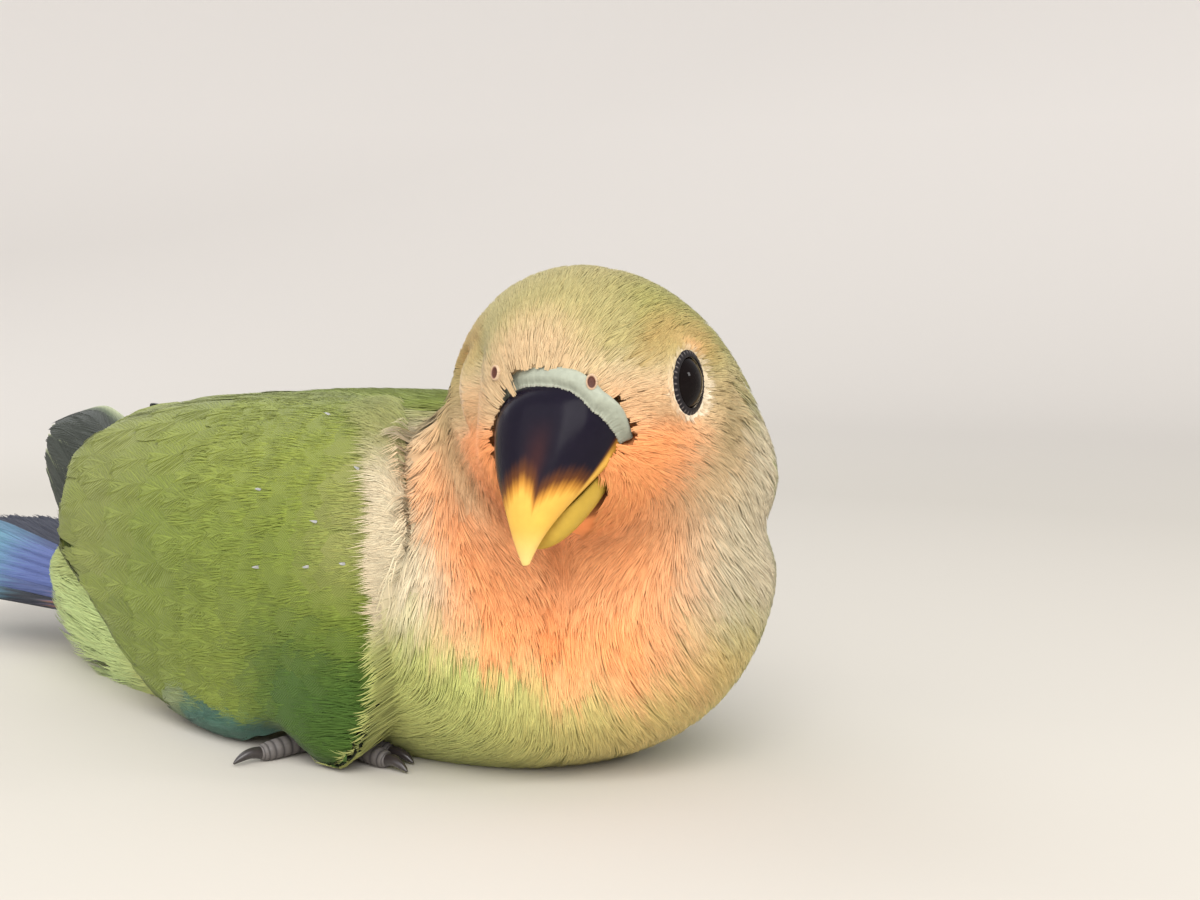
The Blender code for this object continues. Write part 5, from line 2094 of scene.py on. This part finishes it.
@dataclass(frozen=True)
class Eye:
    """One eye: a wet dark ball, and the beaded rim of its lids."""

    side: Side
    radius: float = EYE_RADIUS
    lid: float = 2.95
    lid_height: float = 2.42
    beads: int = 34

    def build(self, ball: bpy.types.Material, rim: bpy.types.Material) -> None:
        """Builds the eyeball and the lids.

        Args:
            ball: the eyeball's material.
            rim: the lids' material.
        """
        label = self.side.label
        matrix = Turntable.facing(HEAD.eye(self.side), HEAD.eye_axis(self.side))
        bpy.ops.object.select_all(action="DESELECT")
        bpy.ops.mesh.primitive_uv_sphere_add(segments=64, ring_count=48, radius=self.radius * MM)
        eye = Turntable.finish(bpy.context.object, f"eyeball_{label}", matrix)
        eye.data.materials.append(ball)
        self.mark(eye)
        adopt(eye, (f"eye_{label}",))
        bpy.ops.object.select_all(action="DESELECT")
        bpy.ops.mesh.primitive_torus_add(
            major_segments=180, minor_segments=20, major_radius=self.lid * MM, minor_radius=0.4 * MM
        )
        lid = bpy.context.object
        colours = []
        for vertex in lid.data.vertices:
            x, y, z = vertex.co / MM
            angle, away = math.atan2(y, x), math.hypot(x, y) - self.lid
            wave = math.cos(angle * self.beads + 0.4 * math.sin(5 * angle))
            bead = max(0.0, wave) ** 4 * math.exp(-(((away - 0.12) / 0.14) ** 2))
            height = self.lid_height + 0.30 * z - 0.42 * away + 0.07 * bead * (z > 0)
            vertex.co = Vector((x, y, height)) * MM
            pale = 0.8 * bead
            colours.append([c + (p - c) * pale for c, p in zip((0.012, 0.010, 0.012), (0.26, 0.23, 0.22))])
        Turntable.finish(lid, f"eyelids_{label}", matrix)
        self.mark(lid, colours)
        lid.data.materials.append(rim)
        adopt(lid)

    @staticmethod
    def mark(obj: bpy.types.Object, colours: list[list[float]] | None = None) -> None:
        """Gives a piece its marking, dark all over unless its colours are given."""
        marks = obj.data.attributes.new("marking", "FLOAT_COLOR", "POINT")
        if colours is None:
            colours = [[0.006, 0.004, 0.004]] * len(obj.data.vertices)
        opaque = np.column_stack((np.array(colours), np.ones(len(colours))))
        marks.data.foreach_set("color", opaque.astype(np.float32).ravel())


@dataclass(frozen=True)
class Foot:
    """A scaly foot flat on the floor, two toes ahead and two behind, with dark claws."""

    side: Side
    tarsus: tuple[tuple[float, float, float], ...] = ((15.0, 36.0, 3.2), (16.2, 30.0, 2.5), (16.9, 24.9, 1.7))
    toes: tuple[tuple[tuple[float, float, float], ...], ...] = (
        ((16.3, 25.3, 1.5), (15.2, 27.0, 1.3), (13.8, 29.0, 1.0)),
        ((16.4, 23.9, 1.5), (16.2, 20.4, 1.4), (15.8, 16.4, 1.0)),
        ((17.3, 23.8, 1.5), (17.9, 19.4, 1.5), (18.1, 14.4, 1.0)),
        ((17.6, 25.0, 1.5), (20.8, 25.8, 1.3), (24.6, 26.4, 1.0)),
    )
    radius: float = 1.15
    claw: float = 3.6

    def build(self, scales: bpy.types.Material, horn: bpy.types.Material) -> None:
        """Builds the toes as one piece and each claw as its own.

        Args:
            scales: the skin's material.
            horn: the claws' material.
        """
        label = self.side.label
        parts = [self.scaled(self.placed(self.tarsus), (1.5, 1.45, 1.35), 14)]
        for toe in self.toes:
            parts.append(self.scaled(self.placed(toe), (1.27, 1.15, 1.0), 12))
        shape = Shape.joined(parts)
        shape.to_piece(f"scaly_foot_{label}", scales, "foot_skin", (f"foot_{label}",))
        for number, toe in enumerate(self.toes, 1):
            self.build_claw(self.placed(toe), number, horn)

    def placed(self, points: tuple[tuple[float, float, float], ...]) -> np.ndarray:
        """The left foot's points at this side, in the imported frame."""
        return np.array(points) * (self.side.value, 1, 1) + ORIGIN_SHIFT

    @staticmethod
    def scaled(points: np.ndarray, radii: tuple[float, ...], scutes: int) -> Shape:
        """A tube with rings of scutes and a round end."""
        path = np.vstack((points, points[-1] + unit(points[-1] - points[-2]) * radii[-1] * 0.9))
        tube = Tube(path, np.array((*radii, 0.15)))
        v = np.linspace(0, tube.last_v, 7 * scutes + 1)
        u = np.arange(28) / 28
        grid_u, grid_v = np.meshgrid(u, v)
        lie = tube.lie(grid_u, grid_v)
        ring = np.abs(np.sin(grid_v / tube.last_v * math.pi * scutes)) ** 0.6
        height = 0.10 * ring * (0.4 + 0.6 * np.cos(np.pi * grid_u) ** 2) - 0.05
        points = lie.point + unit(lie.point - tube.spline.at(grid_v)[..., :3]) * height[..., None]
        points[..., 2] = np.maximum(points[..., 2], FLOOR_GAP)
        shape = loft_shape(tube, u, v, points)
        tone = np.concatenate((ring.ravel(), (0.5, 0.5)))[:, None]
        shape.colour = np.array((0.05, 0.045, 0.045)) + np.array((0.10, 0.09, 0.085)) * tone
        return shape

    def build_claw(self, toe: np.ndarray, number: int, horn: bpy.types.Material) -> None:
        """Builds one curved claw, down to the floor at its tip."""
        label = self.side.label
        ahead = unit(toe[-1] - toe[-2])
        share = np.array((0.0, 0.4, 0.75, 1.0))
        lift = 0.55 * np.sin(share * math.pi * 0.9) - 0.5 * share
        path = toe[-1] + ahead * (0.37 + self.claw * share[:, None])
        path[:, 2] += lift
        claw = Tube(path, np.array((0.72, 0.6, 0.42, 0.12)))
        shape = loft_shape(claw, np.arange(20) / 20, np.linspace(0, claw.last_v, 24))
        shape.points[:, 2] = np.maximum(shape.points[:, 2], FLOOR_GAP)
        shape.colour = np.broadcast_to((0.035, 0.028, 0.028), shape.points.shape).copy()
        shape.to_piece(f"nail_{label}_{number}", horn, "claw_horn", (f"claw_{label}_{number}",))


@dataclass(frozen=True)
class Studio:
    """The pale floor that curves up into a low backdrop, the lights and the camera."""

    camera_place: tuple[float, float, float] = (-139.54, -173.45, 50.0)
    camera_yaw: float = 50.0
    camera_pitch: float = 4.87
    lens: float = 50.0
    sensor: float = 36.0
    flat_radius: float = 520.0
    rim_radius: float = 1100.0
    rim_height: float = 420.0
    floor_colour: Colour = (0.60, 0.565, 0.51)
    rim_colour: Colour = (0.93, 0.88, 0.83)

    def build(self) -> None:
        """Builds the floor, the lights, the world and the camera."""
        self.build_floor()
        self.build_world()
        self.add_light("key", (-300, -400, 400), 0.5, 3.4, (1.0, 0.985, 0.96))
        self.add_light("left fill", (-480, -60, 200), 0.6, 1.2, (1.0, 0.98, 0.96))
        self.add_light("catchlight", (195, -428, 235), 0.07, 0.3, (1.0, 0.99, 0.97))
        self.add_light("rim", (60, 420, 420), 0.5, 1.1, (0.97, 0.98, 1.0))
        self.build_camera()

    def build_floor(self) -> None:
        """Builds the floor as a turned profile, flat in the middle and raised at its rim."""
        bpy.ops.object.select_all(action="DESELECT")
        bpy.ops.mesh.primitive_circle_add(vertices=96, radius=1.0, fill_type="TRIFAN")
        floor = bpy.context.object
        bpy.ops.object.mode_set(mode="EDIT")
        bpy.ops.mesh.select_all(action="SELECT")
        bpy.ops.mesh.subdivide(number_cuts=24)
        bpy.ops.object.mode_set(mode="OBJECT")
        for vertex in floor.data.vertices:
            share = math.hypot(vertex.co.x, vertex.co.y)
            radius = share * self.rim_radius
            over = max(0.0, radius - self.flat_radius) / (self.rim_radius - self.flat_radius)
            scale = self.rim_radius * MM
            vertex.co = Vector((vertex.co.x * scale, vertex.co.y * scale, self.rim_height * over**2 * MM))
        floor.name = "floor"
        floor.data.shade_smooth()
        floor.data.materials.append(self.floor_material())

    def floor_material(self) -> bpy.types.Material:
        """A matt pale paper with the faintest tooth."""
        material = bpy.data.materials.new("pale floor")
        material.use_nodes = True
        nodes, links = material.node_tree.nodes, material.node_tree.links
        shader = nodes["Principled BSDF"]
        shader.inputs["Roughness"].default_value = 0.9
        shader.inputs["Specular IOR Level"].default_value = 0.1
        noise = nodes.new("ShaderNodeTexNoise")
        noise.inputs["Scale"].default_value = 900.0
        bump = nodes.new("ShaderNodeBump")
        bump.inputs["Strength"].default_value = 0.08
        bump.inputs["Distance"].default_value = 0.0002
        place = nodes.new("ShaderNodeTexCoord").outputs["Object"]
        links.new(place, noise.inputs["Vector"])
        links.new(noise.outputs[0], bump.inputs["Height"])
        away = nodes.new("ShaderNodeVectorMath")
        away.operation = "LENGTH"
        links.new(place, away.inputs[0])
        paler = nodes.new("ShaderNodeMapRange")
        paler.inputs["From Min"].default_value = 0.25
        paler.inputs["From Max"].default_value = 0.9
        links.new(away.outputs["Value"], paler.inputs["Value"])
        colour = nodes.new("ShaderNodeMix")
        colour.data_type = "RGBA"
        colour.inputs[6].default_value = (*self.floor_colour, 1.0)
        colour.inputs[7].default_value = (*self.rim_colour, 1.0)
        links.new(paler.outputs["Result"], colour.inputs["Factor"])
        links.new(colour.outputs[2], shader.inputs["Base Color"])
        links.new(bump.outputs["Normal"], shader.inputs["Normal"])
        return material

    @staticmethod
    def build_world() -> None:
        """A soft even surround."""
        world = bpy.data.worlds.new("studio")
        bpy.context.scene.world = world
        world.use_nodes = True
        background = world.node_tree.nodes["Background"]
        background.inputs["Color"].default_value = (0.97, 0.98, 1.0, 1.0)
        background.inputs["Strength"].default_value = 0.68

    @staticmethod
    def add_light(name: str, place: tuple[float, float, float], size: float, power: float, colour: Colour) -> None:
        """Adds one large square light, turned to the bird.

        Args:
            name: its name.
            place: where it hangs.
            size: its side in metres.
            power: its power in watts.
            colour: its colour.
        """
        light = bpy.data.lights.new(name, "AREA")
        light.size = size
        light.energy = power
        light.color = colour
        lamp = bpy.data.objects.new(name, light)
        bpy.context.scene.collection.objects.link(lamp)
        lamp.location = Vector(place) * MM
        aim = Vector((0.0, -0.03, 0.02)) - lamp.location
        lamp.rotation_euler = aim.to_track_quat("-Z", "Y").to_euler()

    def build_camera(self) -> None:
        """Builds the camera at the photograph's place and angle."""
        yaw, pitch = math.radians(self.camera_yaw), math.radians(self.camera_pitch)
        ahead = Vector((math.sin(yaw) * math.cos(pitch), math.cos(yaw) * math.cos(pitch), -math.sin(pitch)))
        data = bpy.data.cameras.new("camera")
        data.lens, data.sensor_width, data.clip_start = self.lens, self.sensor, 0.001
        camera = bpy.data.objects.new("camera", data)
        bpy.context.scene.collection.objects.link(camera)
        camera.location = Vector(self.camera_place) * MM
        camera.rotation_euler = ahead.to_track_quat("-Z", "Y").to_euler()
        bpy.context.scene.camera = camera
        bpy.context.scene.view_settings.view_transform = "Standard"


class Finishes:
    """Every finish of the bird, built once."""

    def __init__(self) -> None:
        """Builds the shared node groups and the materials."""
        mottle_group()
        barb_group()
        self.skin = Finish("skin under feathers", 0.9, specular=0.1, bump=0.4).material()
        self.coat = Finish("loose feathers", 0.8, specular=0.1, sheen=0.1, noise_scale=260).material()
        self.blade = Finish("feather blades", 0.62, specular=0.25, sheen=0.1, barbs=26.0, bump=0.35,
                            bump_distance=0.00012).material()
        self.barb = Finish("feather barbs", 0.68, specular=0.2, sheen=0.12).material()
        self.horn = Finish("bill horn", 0.22, specular=0.09,
                           noise_scale=900, noise_amount=0.25, bump=0.12, bump_distance=0.00008).material()
        self.wax = Finish("cere skin", 0.5, specular=0.35, noise_scale=1500, noise_amount=0.4, bump=0.5,
                          bump_distance=0.00015).material()
        self.eyeball = Finish("wet eye", 0.05, specular=0.07, noise_amount=0.1).material()
        self.lids = Finish("eyelid skin", 0.5, specular=0.15, noise_scale=1800, noise_amount=0.5, bump=0.4,
                           bump_distance=0.0001).material()
        self.scales = Finish("foot scales", 0.5, specular=0.4, noise_scale=1100, noise_amount=0.4, bump=0.5,
                             bump_distance=0.00012).material()
        self.claw = Finish("claw horn", 0.3, specular=0.5, coat=0.3, noise_scale=800, noise_amount=0.4).material()


def main() -> None:
    """Builds the bird from its bill and skin outwards, and then the studio."""
    logging.basicConfig(level=logging.INFO, format="%(name)s %(message)s")
    finishes = Finishes()
    bill = Bill().build(finishes.horn, finishes.wax)
    body = Body(BODY, in_head=False, poles=True)
    Coat(body, bill, np.random.default_rng(11)).build(finishes.skin, finishes.coat)
    for side in Side:
        Bill.build_nostril(side, body, bill, finishes.wax)
        Wing(side).build(np.random.default_rng(20 + side.value), finishes.blade, finishes.barb)
        Eye(side).build(finishes.eyeball, finishes.lids)
        Foot(side).build(finishes.scales, finishes.claw)
    Tail().build(np.random.default_rng(31), finishes.blade, finishes.barb)
    Studio().build()


BODY = (
    Station("face pole", (-19.1, -8.8, 38.2), 75, -8, 0.0, 0.0, 0.0),
    Station("lores", (-17.7, -8.4, 38.8), 75, -6, 8.0, 8.2, 7.6),
    Station("eyes", (-12.7, -7.1, 39.8), 75, -2, 12.3, 12.9, 12.6),
    Station("crown", (-6.7, -4.6, 40.0), 74, 6, 16.0, 14.2, 16.5),
    Station("nape", (-3.2, -3.4, 36.0), 60, 24, 17.8, 13.8, 20.2),
    Station("ruff", (-1.2, -0.2, 30.0), 41, 34, 21.6, 14.2, 25.2, 2.0, 2.2),
    Station("shoulders", (0.4, 7.0, 24.5), 20, 27, 22.8, 17.4, 26.2, 2.2, 2.35),
    Station("keel", (0.2, 18.5, 20.5), 2, 10, 21.4, 19.8, 23.4, 2.4, 2.6),
    Station("middle", (0.0, 33.0, 20.0), 0, 0, 21.0, 20.0, 23.2, 2.3, 2.8),
    Station("loins", (0.0, 50.0, 20.0), 0, 0, 18.6, 19.0, 23.6, 2.3, 3.6),
    Station("rump", (0.0, 66.0, 19.0), 0, 0, 15.2, 15.6, 23.0, 2.2, 4.4),
    Station("tail coverts", (0.0, 82.0, 15.2), 0, -2, 12.4, 10.0, 16.4, 2.1, 3.2),
    Station("last coverts", (0.0, 96.0, 12.8), 0, -4, 7.6, 4.8, 8.8),
    Station("rear pole", (0.0, 101.5, 12.2), 0, -4, 0.0, 0.0, 0.0),
)


if __name__ == "__main__":
    main()
    bpy.context.view_layer.update()
